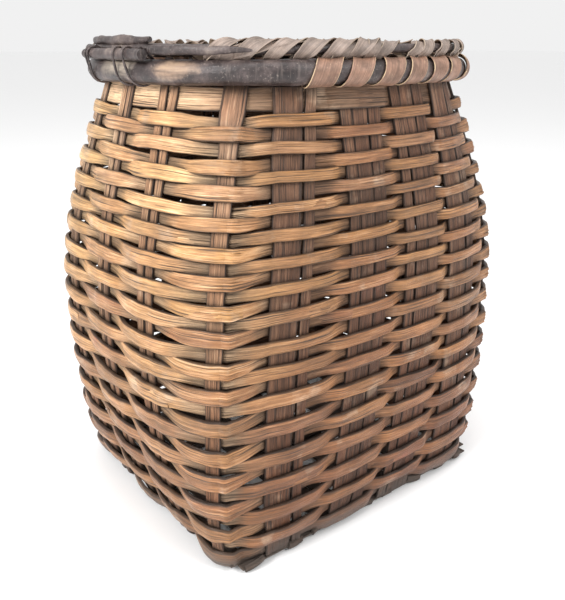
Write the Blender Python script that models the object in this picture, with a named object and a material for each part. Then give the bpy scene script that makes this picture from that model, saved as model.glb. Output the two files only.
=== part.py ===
"""Lidded splint basket: a bellied basket woven from ash splints on a plaited, nearly square foot.

Splints run up one side, across the foot and up the other side. Closed weaver rows pass over and
under them. Two bent rods grip the top, bound with bark strip, and a flat woven lid turns on a
stick that two vine loops tie to the rim. Metres, +Z up, the foot stands on z = 0, -Y is the front
and the lid is hinged on the -X side.
"""

import math

import bmesh
import bpy
from mathutils import Vector

# Plan of the wall: half lengths and corner roundness at the foot, the belly and the neck.
# Roundness is one over the exponent of the superellipse: 0.5 is an ellipse, 0 a rectangle.
FOOT_HALF_X = 0.160
FOOT_HALF_Y = 0.143
BELLY_HALF_X = 0.2015
BELLY_HALF_Y = 0.1625
NECK_HALF_X = 0.164
NECK_HALF_Y = 0.150
ROUNDNESS_SHARES = (0.11, 0.26, 0.43)
BELLY_HEIGHT = 0.222
RIM_HEIGHT = 0.4255
NECK_EASE_SHARE = 0.6
TANGENT_STEP_RAD = 0.004

# Rim rods.
ROD_CLEARANCE = 0.0004
RIM_ROD_RADIUS = 0.010
INNER_ROD_RADIUS = 0.0055
INNER_ROD_RISE = 0.001
RING_STEPS = 48

# Uprights. The front and back carry pairs of a wide and a narrow splint, the sides single ones.
STAKE_THICKNESS = 0.0016
WIDE_STAKE = 0.027
NARROW_STAKE = 0.013
PAIR_GAP = 0.003
SIDE_STAKE = 0.022
CORNER_STAKE = 0.013
FRONT_PLACE_SHARES = (-0.64, -0.215, 0.215, 0.64)
SIDE_PLACE_SHARES = (-0.82, -0.42, 0.0, 0.42, 0.82)
FOOT_BEND = 0.0055
FOOT_LIFT = 0.001
WALL_FOOT_HEIGHT = FOOT_BEND + FOOT_LIFT
STAKE_TOP_GAP = 0.001
STAKE_TOP = RIM_HEIGHT - RIM_ROD_RADIUS - STAKE_TOP_GAP
STAKE_RISE = 0.004
RISEN_STAKE_TOP = RIM_HEIGHT + STAKE_RISE
WALL_STATIONS = 10
STATION_EASE = 0.45

# Weaver rows, half round splints with the flat side in, from the foot's bends to the top band.
ROW_COUNT = 32
ROW_TAPER_SHARE = 0.83
ROW_GAP = 0.0013
ROW_THICKNESS = 0.0032
ROW_CROWN_SHARE = 0.62
WEAVE_CLEARANCE = 0.00065
PLATEAU_MARGIN = 0.0025
BAND_WIDTH = 0.0175
BAND_THICKNESS = 0.0018
BAND_TOP_GAP = 0.0014
BAND_OUTSIDE_GROUPS = (4, 13)
BAND_HEIGHT = STAKE_TOP - BAND_TOP_GAP - BAND_WIDTH / 2
FIRST_ROW_EDGE = WALL_FOOT_HEIGHT + ROW_GAP
LAST_ROW_EDGE = BAND_HEIGHT - BAND_WIDTH / 2 - ROW_GAP

# Bark lashing of the rim: runs of loops as first angle and count, seen from above in degrees
# from the hinge side towards the front.
LASHING_WIDTH = 0.021
LASHING_THICKNESS = 0.0012
LASHING_CLEARANCE = 0.0005
LASHING_SLACK = 0.0006
LASHING_STEP_DEG = 11.0
LASHING_LEG_DEG = 12.0
LASHING_RUNS = ((62.0, 7), (150.0, 3), (188.5, 3), (230.0, 8))

# Lid: a rod hoop over five ribs, one weaver going to and fro across them, and its own lashing.
# The lashing has loops in the gaps between the ribs' ends, and at the shares of the length here.
LID_CLEARANCE = 0.0004
LID_HOOP_RADIUS = 0.004
LID_HOOP_INSET = 0.001
LID_RIB_THICKNESS = 0.0015
LID_RIB_WIDTH = 0.026
LID_RIB_SHARES = (-0.67, -0.335, 0.0, 0.335, 0.67)
LID_ROW_PITCH = 0.0130
LID_ROW_WIDTH = 0.0095
LID_ROW_THICKNESS = 0.0012
LID_ROW_REACH_GAP = 0.0022
LID_SHORTEST_ROW = 0.045
LID_LASHING_WIDTH = 0.010
LID_LASHING_SHARES = (-0.45, -0.23, 0.0, 0.23, 0.45)

# Hinge: a stick in the notch between lid hoop and rim rod, tied down by two vine loops.
HINGE_STICK_RADIUS = 0.005
HINGE_CLEARANCE = 0.0003
TIE_RADIUS = 0.0008
TIE_PLACE = 0.046
TIE_CLEARANCE = 0.00055
STICK_OVERHANG = 0.009
STICK_TIE_STEPS = 4
ROD_TIE_STEPS = 7

TURN = 2 * math.pi
LEFT = math.pi


def swell(foot, belly, neck, height):
    """A size of the wall at a height: it swells from foot to belly and draws in to the neck."""
    if height < BELLY_HEIGHT:
        share = 1 - height / BELLY_HEIGHT
        return belly + (foot - belly) * share**2
    share = (height - BELLY_HEIGHT) / (RIM_HEIGHT - BELLY_HEIGHT)
    return belly + (neck - belly) * share**2 * (1 + NECK_EASE_SHARE * (1 - share))


def plan_point(angle, height):
    """The point of the wall's middle surface in a direction from the axis, at a height."""
    half_x = swell(FOOT_HALF_X, BELLY_HALF_X, NECK_HALF_X, height)
    half_y = swell(FOOT_HALF_Y, BELLY_HALF_Y, NECK_HALF_Y, height)
    power = 1 / swell(*ROUNDNESS_SHARES, height)
    reach = abs(math.cos(angle) / half_x) ** power + abs(math.sin(angle) / half_y) ** power
    radius = reach ** (-1 / power)
    return Vector((radius * math.cos(angle), radius * math.sin(angle), height))


def plan_tangent(angle, height):
    """Unit vector along the wall at a constant height, towards greater angles."""
    after = plan_point(angle + TANGENT_STEP_RAD, height)
    return (after - plan_point(angle - TANGENT_STEP_RAD, height)).normalized()


def level_normal(angle, height):
    """Unit vector square to the wall, outward and level."""
    tangent = plan_tangent(angle, height)
    return Vector((tangent.y, -tangent.x, 0))


def rim_point(angle, offset, height):
    """A point beside the wall at the rim, offset outward from its middle surface."""
    base = plan_point(angle, RIM_HEIGHT) + level_normal(angle, RIM_HEIGHT) * offset
    return Vector((base.x, base.y, height))


def stake_groups():
    """Each stake group round the basket as (foot angle, rim angle, width), from the hinge side."""
    front = [(share * FOOT_HALF_X, -FOOT_HALF_Y) for share in FRONT_PLACE_SHARES]
    right = [(FOOT_HALF_X, share * FOOT_HALF_Y) for share in SIDE_PLACE_SHARES]
    back = [(-x, -y) for x, y in front]
    left = [(-x, -y) for x, y in right]
    middle = len(left) // 2
    places = left[middle:] + front + right + back + left[:middle]
    pair = WIDE_STAKE + PAIR_GAP + NARROW_STAKE
    side = [CORNER_STAKE] + [SIDE_STAKE] * (len(left) - 2) + [CORNER_STAKE]
    widths = side[middle:] + [pair] * len(front) + side + [pair] * len(back) + side[:middle]
    groups = []
    for index, ((x, y), width) in enumerate(zip(places, widths)):
        foot_angle = LEFT + (math.atan2(y, x) - LEFT) % TURN
        groups.append((foot_angle, LEFT + TURN * index / len(places), width))
    return groups


def station_heights():
    """Heights at which the uprights bend, closer together near the foot and the neck."""
    shares = [step / WALL_STATIONS for step in range(WALL_STATIONS + 1)]
    eased = [share - STATION_EASE * math.sin(TURN * share) / TURN for share in shares]
    return [WALL_FOOT_HEIGHT + (RISEN_STAKE_TOP - WALL_FOOT_HEIGHT) * share for share in eased]


GROUPS = stake_groups()
STATION_HEIGHTS = station_heights()


def group_stations(index):
    """Points up one stake group with the directions along the row and out of the wall."""
    foot_angle, rim_angle, _ = GROUPS[index]
    heights = STATION_HEIGHTS
    angles = [foot_angle + (rim_angle - foot_angle) * height / RIM_HEIGHT for height in heights]
    points = [plan_point(angle, height) for angle, height in zip(angles, heights)]
    stations = []
    for step, point in enumerate(points):
        above = points[min(step + 1, WALL_STATIONS)]
        below = points[max(step - 1, 0)]
        tangent = plan_tangent(angles[step], heights[step])
        normal = tangent.cross(above - below).normalized()
        stations.append((point, tangent, normal))
    return stations


STATIONS = [group_stations(index) for index in range(len(GROUPS))]


def wall_frame(index, height):
    """Point, row direction, outward normal and up direction of a stake group at a height."""
    above = [step for step in range(1, WALL_STATIONS) if height < STATION_HEIGHTS[step]]
    step = above[0] - 1 if above else WALL_STATIONS - 1
    low, high = STATION_HEIGHTS[step], STATION_HEIGHTS[step + 1]
    share = (height - low) / (high - low)
    ends = zip(STATIONS[index][step], STATIONS[index][step + 1])
    point, tangent, normal = (a.lerp(b, share) for a, b in ends)
    tangent.normalize()
    normal.normalize()
    return point, tangent, normal, normal.cross(tangent)


def remove_objects():
    for thing in list(bpy.data.objects):
        bpy.data.objects.remove(thing, do_unlink=True)


def make_material(name, colour, roughness):
    material = bpy.data.materials.new(name)
    material.use_nodes = True
    shader = material.node_tree.nodes["Principled BSDF"]
    shader.inputs["Base Color"].default_value = (*colour, 1)
    shader.inputs["Roughness"].default_value = roughness
    shader.inputs["Metallic"].default_value = 0
    return material


def loft(name, sections, material, closed=False, parent=None):
    """One closed body through sections of equally many points, a ring or with capped ends."""
    shape = bmesh.new()
    origin = parent.location if parent else Vector((0, 0, 0))
    loops = [[shape.verts.new(point - origin) for point in section] for section in sections]
    joins = len(loops) if closed else len(loops) - 1
    for step in range(joins):
        low, high = loops[step], loops[(step + 1) % len(loops)]
        for side in range(len(low)):
            after = (side + 1) % len(low)
            shape.faces.new((low[side], low[after], high[after], high[side]))
    if not closed:
        shape.faces.new(loops[0])
        shape.faces.new(loops[-1])
    bmesh.ops.recalc_face_normals(shape, faces=shape.faces)
    mesh = bpy.data.meshes.new(name)
    shape.to_mesh(mesh)
    shape.free()
    mesh.materials.append(material)
    piece = bpy.data.objects.new(name, mesh)
    bpy.context.collection.objects.link(piece)
    if parent:
        piece.parent = parent
    return piece


def strip_section(centre, across, out, width, thickness, crown_share=1.0):
    """Four corners of a strip, the outer side narrowed to a share of the width."""
    side, rise = across * width / 2, out * thickness / 2
    crown = side * crown_share
    return [centre - side - rise, centre + side - rise, centre + crown + rise, centre - crown + rise]


def rod_section(centre, out, up, radius, sides):
    """Corners of a round rod, the first one outward."""
    turns = [TURN * side / sides for side in range(sides)]
    return [centre + (out * math.cos(t) + up * math.sin(t)) * radius for t in turns]


def row_heights():
    """Height and splint width of each row: the rows get narrower by a steady taper."""
    shares = [1 + (ROW_TAPER_SHARE - 1) * k / (ROW_COUNT - 1) for k in range(ROW_COUNT)]
    room = LAST_ROW_EDGE - FIRST_ROW_EDGE - ROW_GAP * (ROW_COUNT - 1)
    widths = [room * share / sum(shares) for share in shares]
    edges = [FIRST_ROW_EDGE + sum(widths[:k]) + ROW_GAP * k for k in range(ROW_COUNT)]
    return [(edge + width / 2, width) for edge, width in zip(edges, widths)]


def woven_ring(height, offsets, profile):
    """Sections of a ring that runs flat past every stake group at the given offset from it."""
    sections = []
    for index, offset in enumerate(offsets):
        point, tangent, normal, up = wall_frame(index, height)
        half = GROUPS[index][2] / 2 + PLATEAU_MARGIN
        for side in (-half, half):
            sections.append(profile(point + tangent * side + normal * offset, normal, up))
    return sections


def build_rows(material):
    reach = STAKE_THICKNESS / 2 + WEAVE_CLEARANCE + ROW_THICKNESS / 2
    for row, (height, width) in enumerate(row_heights()):
        offsets = [-reach if (row + index) % 2 else reach for index in range(len(GROUPS))]

        def profile(centre, normal, up, width=width):
            return strip_section(centre, up, normal, width, ROW_THICKNESS, ROW_CROWN_SHARE)

        loft(f"weaver_row_{row + 1:02d}", woven_ring(height, offsets, profile), material, closed=True)


def build_band(material):
    """The wide top band, inside the stakes but for two of them."""
    reach = STAKE_THICKNESS / 2 + WEAVE_CLEARANCE + BAND_THICKNESS / 2
    offsets = [reach if index in BAND_OUTSIDE_GROUPS else -reach for index in range(len(GROUPS))]

    def profile(centre, normal, up):
        return strip_section(centre, up, normal, BAND_WIDTH, BAND_THICKNESS)

    loft("top_band", woven_ring(BAND_HEIGHT, offsets, profile), material, closed=True)


def foot_level(step, other_step):
    """Height of a splint's middle where it crosses another on the foot: plain weave."""
    low = STAKE_THICKNESS / 2
    over = (step + other_step) % 2
    return low + over * (STAKE_THICKNESS + WEAVE_CLEARANCE)


def upright_sections(index, shift, width, facing, top):
    """Sections up a wall from its foot to the top; facing keeps the splint's sides in order."""
    sections, middles = [], []
    for point, tangent, normal in STATIONS[index]:
        if point.z >= top:
            break
        middle = point + tangent * shift * facing
        sections.append(strip_section(middle, tangent * facing, normal, width, STAKE_THICKNESS))
        middles.append(middle)
    point, tangent, normal, _ = wall_frame(index, top)
    middle = point + tangent * shift * facing
    sections.append(strip_section(middle, tangent * facing, normal, width, STAKE_THICKNESS))
    return sections, middles[0]


def foot_sections(start, finish, across, crossings, width):
    """Sections across the foot between two wall feet: bend, weave over the crossings, bend."""
    along = (finish - start).normalized()
    along.z = 0
    down = Vector((0, 0, -1))
    span = (finish - start).length
    line = []
    for place, half, level in crossings:
        line.append((place - half, level))
        line.append((place + half, level))
    line = [(FOOT_BEND, line[0][1])] + line + [(span - FOOT_BEND, line[-1][1])]
    sections = []
    for wall, level, sign, near in ((start, line[0][1], 1, 0.0), (finish, line[-1][1], -1, 1.0)):
        flat = wall + along * FOOT_BEND * sign
        flat.z = level
        corner = Vector((wall.x, wall.y, level))
        middle = flat * 0.25 + corner * 0.5 + wall * 0.25
        out = (down - along * sign).normalized()
        sections.append(strip_section(middle, across, out, width, STAKE_THICKNESS))
    flats = []
    for place, level in line:
        centre = start + along * place
        centre.z = level
        flats.append(strip_section(centre, across, down, width, STAKE_THICKNESS))
    return [sections[0]] + flats + [sections[1]]


def build_stake(name, near, far, shift, width, top, crossings, material):
    """One splint from the top of one wall, under the foot, to the top of the opposite wall."""
    near_wall, start = upright_sections(near, shift, width, 1, top)
    far_wall, finish = upright_sections(far, shift, width, -1, top)
    across = wall_frame(near, WALL_FOOT_HEIGHT)[1]
    across = Vector((round(across.x), round(across.y), 0))
    foot = foot_sections(start, finish, across, crossings(start), width)
    loft(name, near_wall[::-1] + foot + far_wall, material)


def build_stakes(material):
    """Pairs from front to back and single splints from side to side, plaited on the foot."""
    count = len(GROUPS)
    front_x = [share * FOOT_HALF_X for share in FRONT_PLACE_SHARES]
    side_y = [share * FOOT_HALF_Y for share in SIDE_PLACE_SHARES]
    side_widths = [CORNER_STAKE] + [SIDE_STAKE] * (len(side_y) - 2) + [CORNER_STAKE]
    pair = WIDE_STAKE + PAIR_GAP + NARROW_STAKE
    first_front = len(side_y) // 2 + 1
    splints = (("wide", (WIDE_STAKE - pair) / 2, WIDE_STAKE), ("narrow", (pair - NARROW_STAKE) / 2, NARROW_STAKE))

    for step in range(len(front_x)):
        near, far = first_front + step, count - first_front - step

        def crossings(start, step=step):
            return [
                (y - start.y, width / 2 + PLATEAU_MARGIN, foot_level(step, other))
                for other, (y, width) in enumerate(zip(side_y, side_widths))
            ]

        for kind, shift, width in splints:
            build_stake(f"front_stake_{step + 1}_{kind}", near, far, shift, width, STAKE_TOP, crossings, material)

    first_right = first_front + len(front_x)
    for step, width in enumerate(side_widths):
        far = first_right + step
        near = (len(side_y) // 2 - step) % count

        def crossings(start, step=step):
            return [
                (x - start.x, pair / 2 + PLATEAU_MARGIN, foot_level(other, step + 1))
                for other, x in enumerate(front_x)
            ]

        top = STAKE_TOP if step % 2 else RISEN_STAKE_TOP
        build_stake(f"side_stake_{step + 1}", near, far, 0.0, width, top, crossings, material)


def seat_offset(radius):
    """Level distance from the wall's middle surface at which a rod lies against the stakes."""
    normal = wall_frame(0, RIM_HEIGHT)[2]
    lean = math.hypot(normal.x, normal.y)
    return (radius + STAKE_THICKNESS / 2 + ROD_CLEARANCE) / lean


def ring_rod(name, offset, height, radius, sides, material, parent=None):
    """A rod bent into a ring along the rim."""
    sections = []
    for step in range(RING_STEPS):
        angle = TURN * step / RING_STEPS
        out = level_normal(angle, RIM_HEIGHT)
        centre = rim_point(angle, offset, height)
        sections.append(rod_section(centre, out, Vector((0, 0, 1)), radius, sides))
    return loft(name, sections, material, closed=True, parent=parent)


def wrap_outline(outer, outer_radius, inner, inner_radius):
    """Points round both rods in the plane across the rim, as (offset, height), inner top first."""
    ring = []
    for centre, radius, turns in ((inner, inner_radius, (120, 180, 240)), (outer, outer_radius, (-90, -45, 0, 45, 90))):
        for degrees in turns:
            turn = math.radians(degrees)
            ring.append((centre[0] + radius * math.cos(turn), centre[1] + radius * math.sin(turn)))
    return ring


def outline_normals(outline):
    """Unit normals of an outline in its plane, out of the rods that it goes round."""
    normals = []
    for step, _ in enumerate(outline):
        before, after = outline[step - 1], outline[(step + 1) % len(outline)]
        run, rise = after[0] - before[0], after[1] - before[1]
        length = math.hypot(run, rise)
        normals.append((rise / length, -run / length))
    return normals


def winding(outline, angles, width):
    """Sections of one unbroken strip that goes round the outline at each angle.

    It travels to the next angle from the outline's last point to its first.
    """
    stops = list(zip(outline, outline_normals(outline)))
    (last_offset, last_height), (first_offset, first_height) = outline[-1], outline[0]
    run, rise = first_offset - last_offset, first_height - last_height
    length = math.hypot(run, rise)
    path = []
    for loop, angle in enumerate(angles):
        path += [(angle, offset, height, normal) for (offset, height), normal in stops]
        if loop < len(angles) - 1:
            step = angles[loop + 1] - angle
            legs = math.ceil(step / LASHING_LEG_DEG)
            for leg in range(1, legs):
                share = leg / legs
                place = (last_offset + run * share, last_height + rise * share)
                path.append((angle + step * share, *place, (rise / length, -run / length)))
    sections = []
    for angle, offset, height, (across, upward) in path:
        turn = LEFT + math.radians(angle)
        out = level_normal(turn, RIM_HEIGHT) * across + Vector((0, 0, upward))
        centre = rim_point(turn, offset, height)
        sections.append(strip_section(centre, plan_tangent(turn, RIM_HEIGHT), out, width, LASHING_THICKNESS))
    return sections


def least_gap(sections, width):
    """Least distance between two parts of a strip that lie further apart along it than its width."""
    rows = []
    place, before = 0.0, None
    for corners in sections:
        left, right = (corners[0] + corners[3]) / 2, (corners[1] + corners[2]) / 2
        middle = (left + right) / 2
        place += (middle - before).length if before else 0.0
        before = middle
        rows.append((place, [left.lerp(right, step / 4) for step in range(5)]))
    near = math.inf
    for first, (place, points) in enumerate(rows):
        for other_place, others in rows[first + 1:]:
            if width * 2 < other_place - place:
                near = min(near, min((a - b).length for a in points for b in others))
    return near - LASHING_THICKNESS


def build_rim(wood, bark):
    """The two rods that grip the wall's top, and the bark lashing round both."""
    outer = (seat_offset(RIM_ROD_RADIUS), RIM_HEIGHT)
    inner = (-seat_offset(INNER_ROD_RADIUS), RIM_HEIGHT + INNER_ROD_RISE)
    ring_rod("rim_rod", *outer, RIM_ROD_RADIUS, 8, wood)
    ring_rod("inner_rim_rod", *inner, INNER_ROD_RADIUS, 6, wood)
    proud = LASHING_CLEARANCE + LASHING_THICKNESS / 2
    outline = wrap_outline(
        outer, RIM_ROD_RADIUS + proud, inner, INNER_ROD_RADIUS + proud + LASHING_SLACK
    )
    angles = [first + LASHING_STEP_DEG * k for first, count in LASHING_RUNS for k in range(count)]
    sections = winding(outline, angles, LASHING_WIDTH)
    loft("rim_lashing", sections, bark)
    gap = least_gap(sections, LASHING_WIDTH)
    print(f"rim lashing: {len(angles)} loops, least gap between loops {gap * 1000:.2f} mm")
    return outer


def lid_levels(rim_top):
    """Heights of the lid's rib middles and of its hoop's middle over the bound rim."""
    lashing = LASHING_THICKNESS + LASHING_CLEARANCE
    rib = rim_top + lashing + LID_CLEARANCE + lashing + LID_RIB_THICKNESS / 2
    hoop = rib + LID_RIB_THICKNESS / 2 + LID_CLEARANCE + LID_HOOP_RADIUS
    return rib, hoop


def nest_point(first, first_distance, second, second_distance):
    """The point at given distances from two centres in the plane across the rim, on the outside."""
    run, rise = second[0] - first[0], second[1] - first[1]
    span = math.hypot(run, rise)
    along = (first_distance**2 - second_distance**2 + span**2) / (2 * span)
    aside = math.sqrt(first_distance**2 - along**2)
    return (
        first[0] + (run * along - rise * aside) / span,
        first[1] + (rise * along + run * aside) / span,
    )


def hoop_offset():
    """The lid hoop lies on the rim rod, a little further in."""
    return seat_offset(RIM_ROD_RADIUS) - LID_HOOP_INSET


def lid_half_length(y, offset):
    """Half length in x of a ring offset from the neck, at a place y."""
    power = 1 / ROUNDNESS_SHARES[-1]
    share = abs(y) / (NECK_HALF_Y + offset)
    return (NECK_HALF_X + offset) * max(0.0, 1 - share**power) ** (1 / power)


def lid_half_width(x, offset):
    """Half width in y of a ring offset from the neck, at a place x."""
    power = 1 / ROUNDNESS_SHARES[-1]
    share = abs(x) / (NECK_HALF_X + offset)
    return (NECK_HALF_Y + offset) * max(0.0, 1 - share**power) ** (1 / power)


def rib_places():
    """Middle y and half length of each lid rib, whose corners end under the hoop."""
    middles = [share * (NECK_HALF_Y + hoop_offset()) for share in LID_RIB_SHARES]
    return [(y, lid_half_length(abs(y) + LID_RIB_WIDTH / 2, hoop_offset())) for y in middles]


def lid_lashing_angles(ribs):
    """Angles of the lid's loops from the hinge side: between the ribs' ends, and front and back."""
    gaps = [(low[0] + high[0]) / 2 for low, high in zip(ribs, ribs[1:])]
    ends = [(lid_half_length(y, hoop_offset()), y) for y in gaps]
    free = [(-x, y) for x, y in ends if abs(y) > TIE_PLACE + STICK_OVERHANG]
    lengths = [share * (NECK_HALF_X + hoop_offset()) for share in LID_LASHING_SHARES]
    sides = [(x, lid_half_width(x, hoop_offset()) * way) for x in lengths for way in (-1, 1)]
    return sorted((math.degrees(math.atan2(y, x)) - math.degrees(LEFT)) % 360 for x, y in ends + free + sides)


def row_reach(x, ribs):
    """Where a lid row turns back: inside the hoop, or before a rib that leaves no room past it."""
    room = LID_ROW_PITCH / 2 + LID_ROW_WIDTH / 2
    lashing = LASHING_THICKNESS + LASHING_CLEARANCE
    offset = hoop_offset() - LID_HOOP_RADIUS - lashing - LID_ROW_REACH_GAP
    reach = lid_half_width(abs(x) + LID_ROW_WIDTH / 2, offset) - room
    for y, half_length in sorted(ribs, reverse=True):
        beside = abs(x) < half_length + LID_ROW_WIDTH / 2 + PLATEAU_MARGIN
        edge = y + LID_RIB_WIDTH / 2 + 2 * PLATEAU_MARGIN
        if beside and y > 0 and reach < edge:
            reach = min(reach, y - LID_RIB_WIDTH / 2 - 2 * PLATEAU_MARGIN - room)
    return reach


def build_lid_weaver(ribs, level, material, parent):
    """One splint woven to and fro over and under the ribs, turned back at the end of each row."""
    count = int((NECK_HALF_X + hoop_offset()) / LID_ROW_PITCH)
    rows = [step * LID_ROW_PITCH for step in range(-count, count + 1)]
    rows = [x for x in rows if row_reach(x, ribs) > LID_SHORTEST_ROW]
    lift = LID_RIB_THICKNESS / 2 + WEAVE_CLEARANCE + LID_ROW_THICKNESS / 2
    up = Vector((0, 0, 1))
    sections = []
    for step, x in enumerate(rows):
        way = 1 if step % 2 else -1
        before = rows[max(step - 1, 0)]
        after = rows[min(step + 1, len(rows) - 1)]
        start = min(row_reach(x, ribs), row_reach(before, ribs))
        finish = min(row_reach(x, ribs), row_reach(after, ribs))
        across = Vector((way, 0, 0))
        line = [(-start * way, 0.0)]
        for rib, (y, half_length) in sorted(enumerate(ribs), key=lambda item: item[1][0] * way):
            half = LID_RIB_WIDTH / 2 + PLATEAU_MARGIN
            inside = y * way - half > -start and y * way + half < finish
            if abs(x) < half_length and inside:
                sign = 1 if (rib + step) % 2 else -1
                line += [(y - half * way, lift * sign), (y + half * way, lift * sign)]
        line.append((finish * way, 0.0))
        for y, rise in line:
            centre = Vector((x, y, level + rise))
            sections.append(strip_section(centre, across, up, LID_ROW_WIDTH, LID_ROW_THICKNESS))
        if step < len(rows) - 1:
            half_pitch = LID_ROW_PITCH / 2
            tip = Vector((x + half_pitch, (finish + half_pitch) * way, level))
            sections.append(strip_section(tip, Vector((0, -1, 0)), up, LID_ROW_WIDTH, LID_ROW_THICKNESS))
    loft("lid_weaver", sections, material, parent=parent)


def build_lid(outer, wood, splint, bark):
    """Hinge stick, hoop, ribs, weaver and lashing of the lid, hung on an empty on the hinge axis."""
    rib_level, hoop_level = lid_levels(outer[1] + RIM_ROD_RADIUS)
    rod_distance = RIM_ROD_RADIUS + HINGE_STICK_RADIUS + HINGE_CLEARANCE
    hoop_distance = LID_HOOP_RADIUS + HINGE_STICK_RADIUS + HINGE_CLEARANCE
    hoop = (hoop_offset(), hoop_level)
    stick = nest_point(hoop, hoop_distance, outer, rod_distance)
    if stick[0] < hoop[0]:
        raise ValueError("the hinge stick has no room outside the lid hoop")
    hinge = bpy.data.objects.new("lid_hinge", None)
    bpy.context.collection.objects.link(hinge)
    hinge.location = rim_point(LEFT, *stick)
    print("hinge axis at", tuple(round(value, 5) for value in hinge.location))

    ring_rod("lid_hoop", *hoop, LID_HOOP_RADIUS, 6, wood, hinge)
    ribs = rib_places()
    for step, (y, half_length) in enumerate(ribs):
        ends = []
        for x in (-half_length, half_length):
            centre = Vector((x, y, rib_level))
            across = Vector((0, 1, 0))
            ends.append(strip_section(centre, across, Vector((0, 0, 1)), LID_RIB_WIDTH, LID_RIB_THICKNESS))
        loft(f"lid_rib_{step + 1}", ends, splint, parent=hinge)
    build_lid_weaver(ribs, rib_level, splint, hinge)

    proud = LASHING_CLEARANCE + LASHING_THICKNESS / 2
    radius = LID_HOOP_RADIUS + proud + LASHING_SLACK
    below = rib_level - LID_RIB_THICKNESS / 2 - proud
    turns = [math.radians(degrees) for degrees in (0, 60, 120, 180)]
    outline = [(hoop[0] + radius * math.cos(turn), hoop[1] + radius * math.sin(turn)) for turn in turns]
    outline = [(hoop[0] + radius, below)] + outline + [(hoop[0] - radius, below)]
    angles = lid_lashing_angles(ribs)
    sections = winding(outline, angles, LID_LASHING_WIDTH)
    loft("lid_lashing", sections, bark, parent=hinge)
    gap = least_gap(sections, LID_LASHING_WIDTH)
    print(f"lid lashing: {len(angles)} loops, least gap between loops {gap * 1000:.2f} mm")

    half = TIE_PLACE + STICK_OVERHANG
    ends = []
    for y in (-half, half):
        centre = hinge.location + Vector((0, y, 0))
        ends.append(rod_section(centre, Vector((-1, 0, 0)), Vector((0, 0, 1)), HINGE_STICK_RADIUS, 10))
    loft("hinge_stick", ends, wood, parent=hinge)
    return stick


def build_ties(outer, stick, material):
    """Two vine loops, each round the rim rod and the hinge stick."""
    out, up = Vector((-1, 0, 0)), Vector((0, 0, 1))
    side = Vector((0, 1, 0))
    for number, y in enumerate((-TIE_PLACE, TIE_PLACE)):
        angle = LEFT - math.asin(y / (NECK_HALF_X + outer[0]))
        rod, bar = rim_point(angle, *outer), rim_point(LEFT, *stick)
        rod.y = bar.y = y
        lean = math.atan2(bar.z - rod.z, rod.x - bar.x)
        spread = math.acos((RIM_ROD_RADIUS - HINGE_STICK_RADIUS) / (bar - rod).length)
        slant = 1 / abs(level_normal(angle, RIM_HEIGHT).x)
        sections = []
        for centre, radius, first, last, steps, stretch in (
            (bar, HINGE_STICK_RADIUS, lean - spread, lean + spread, STICK_TIE_STEPS, 1.0),
            (rod, RIM_ROD_RADIUS, lean + spread, lean - spread + TURN, ROD_TIE_STEPS, slant),
        ):
            reach = radius + TIE_CLEARANCE + TIE_RADIUS
            for step in range(steps + 1):
                turn = first + (last - first) * step / steps
                away = out * math.cos(turn) * stretch + up * math.sin(turn)
                sections.append(rod_section(centre + away * reach, away, side, TIE_RADIUS, 4))
        loft(f"hinge_tie_{number + 1}", sections, material, closed=True)


def main():
    remove_objects()
    splint = make_material("ash_splint", (0.42, 0.24, 0.11), 0.62)
    upright = make_material("ash_upright", (0.33, 0.20, 0.12), 0.70)
    rod = make_material("bark_covered_rod", (0.10, 0.085, 0.08), 0.60)
    bark = make_material("bark_strip", (0.24, 0.15, 0.11), 0.55)
    vine = make_material("vine", (0.08, 0.06, 0.05), 0.65)
    build_rows(splint)
    build_band(splint)
    build_stakes(upright)
    outer = build_rim(rod, bark)
    stick = build_lid(outer, rod, splint, bark)
    build_ties(outer, stick, vine)


main()
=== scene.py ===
"""Looks of the lidded splint basket: woven splints, bark bound rim, vine loops and a woven lid."""
import math

import bpy
import numpy as np
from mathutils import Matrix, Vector


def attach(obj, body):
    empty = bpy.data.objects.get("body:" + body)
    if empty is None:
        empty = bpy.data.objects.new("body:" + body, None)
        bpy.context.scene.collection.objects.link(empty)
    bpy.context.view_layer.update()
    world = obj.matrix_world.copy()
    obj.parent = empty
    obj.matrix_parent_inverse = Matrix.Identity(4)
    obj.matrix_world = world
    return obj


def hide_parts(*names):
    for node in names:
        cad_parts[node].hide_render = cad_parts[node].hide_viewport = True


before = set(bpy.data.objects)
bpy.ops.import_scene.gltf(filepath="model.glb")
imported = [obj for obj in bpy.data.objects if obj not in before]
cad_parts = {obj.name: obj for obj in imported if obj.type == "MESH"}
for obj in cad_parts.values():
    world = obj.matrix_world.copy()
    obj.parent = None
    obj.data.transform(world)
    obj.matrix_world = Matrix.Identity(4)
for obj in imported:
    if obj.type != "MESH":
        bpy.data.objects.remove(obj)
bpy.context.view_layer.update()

TAU = 2 * math.pi

# The wall's measures, the same as those of the CAD source, in metres.
FOOT = (0.160, 0.143)
BELLY = (0.2015, 0.1625)
NECK = (0.164, 0.150)
ROUNDNESS = (0.11, 0.26, 0.43)
BELLY_HEIGHT = 0.222
RIM_HEIGHT = 0.4255
NECK_EASE = 0.6
FRONT_SHARES = (-0.64, -0.215, 0.215, 0.64)
SIDE_SHARES = (-0.82, -0.42, 0.0, 0.42, 0.82)
WIDE, NARROW, PAIR_GAP, SIDE, CORNER = 0.027, 0.013, 0.003, 0.022, 0.013
PAIR = WIDE + PAIR_GAP + NARROW
WALL_FOOT = 0.0065
STAKE_TOP, RISEN_TOP = 0.4145, 0.4295
ROWS = 32
BAND_HEIGHT = 0.40435
ROD_RADIUS, INNER_RADIUS = 0.010, 0.0055
ROD_OFFSET, INNER_OFFSET = 0.01127, -0.00675
HINGE = Vector((-0.18188, 0.0, 0.43944))
HOOP_HEIGHT, HOOP_RADIUS, HOOP_OFFSET = 0.44425, 0.0040, 0.01027
RIB_HEIGHT = 0.4391


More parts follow.
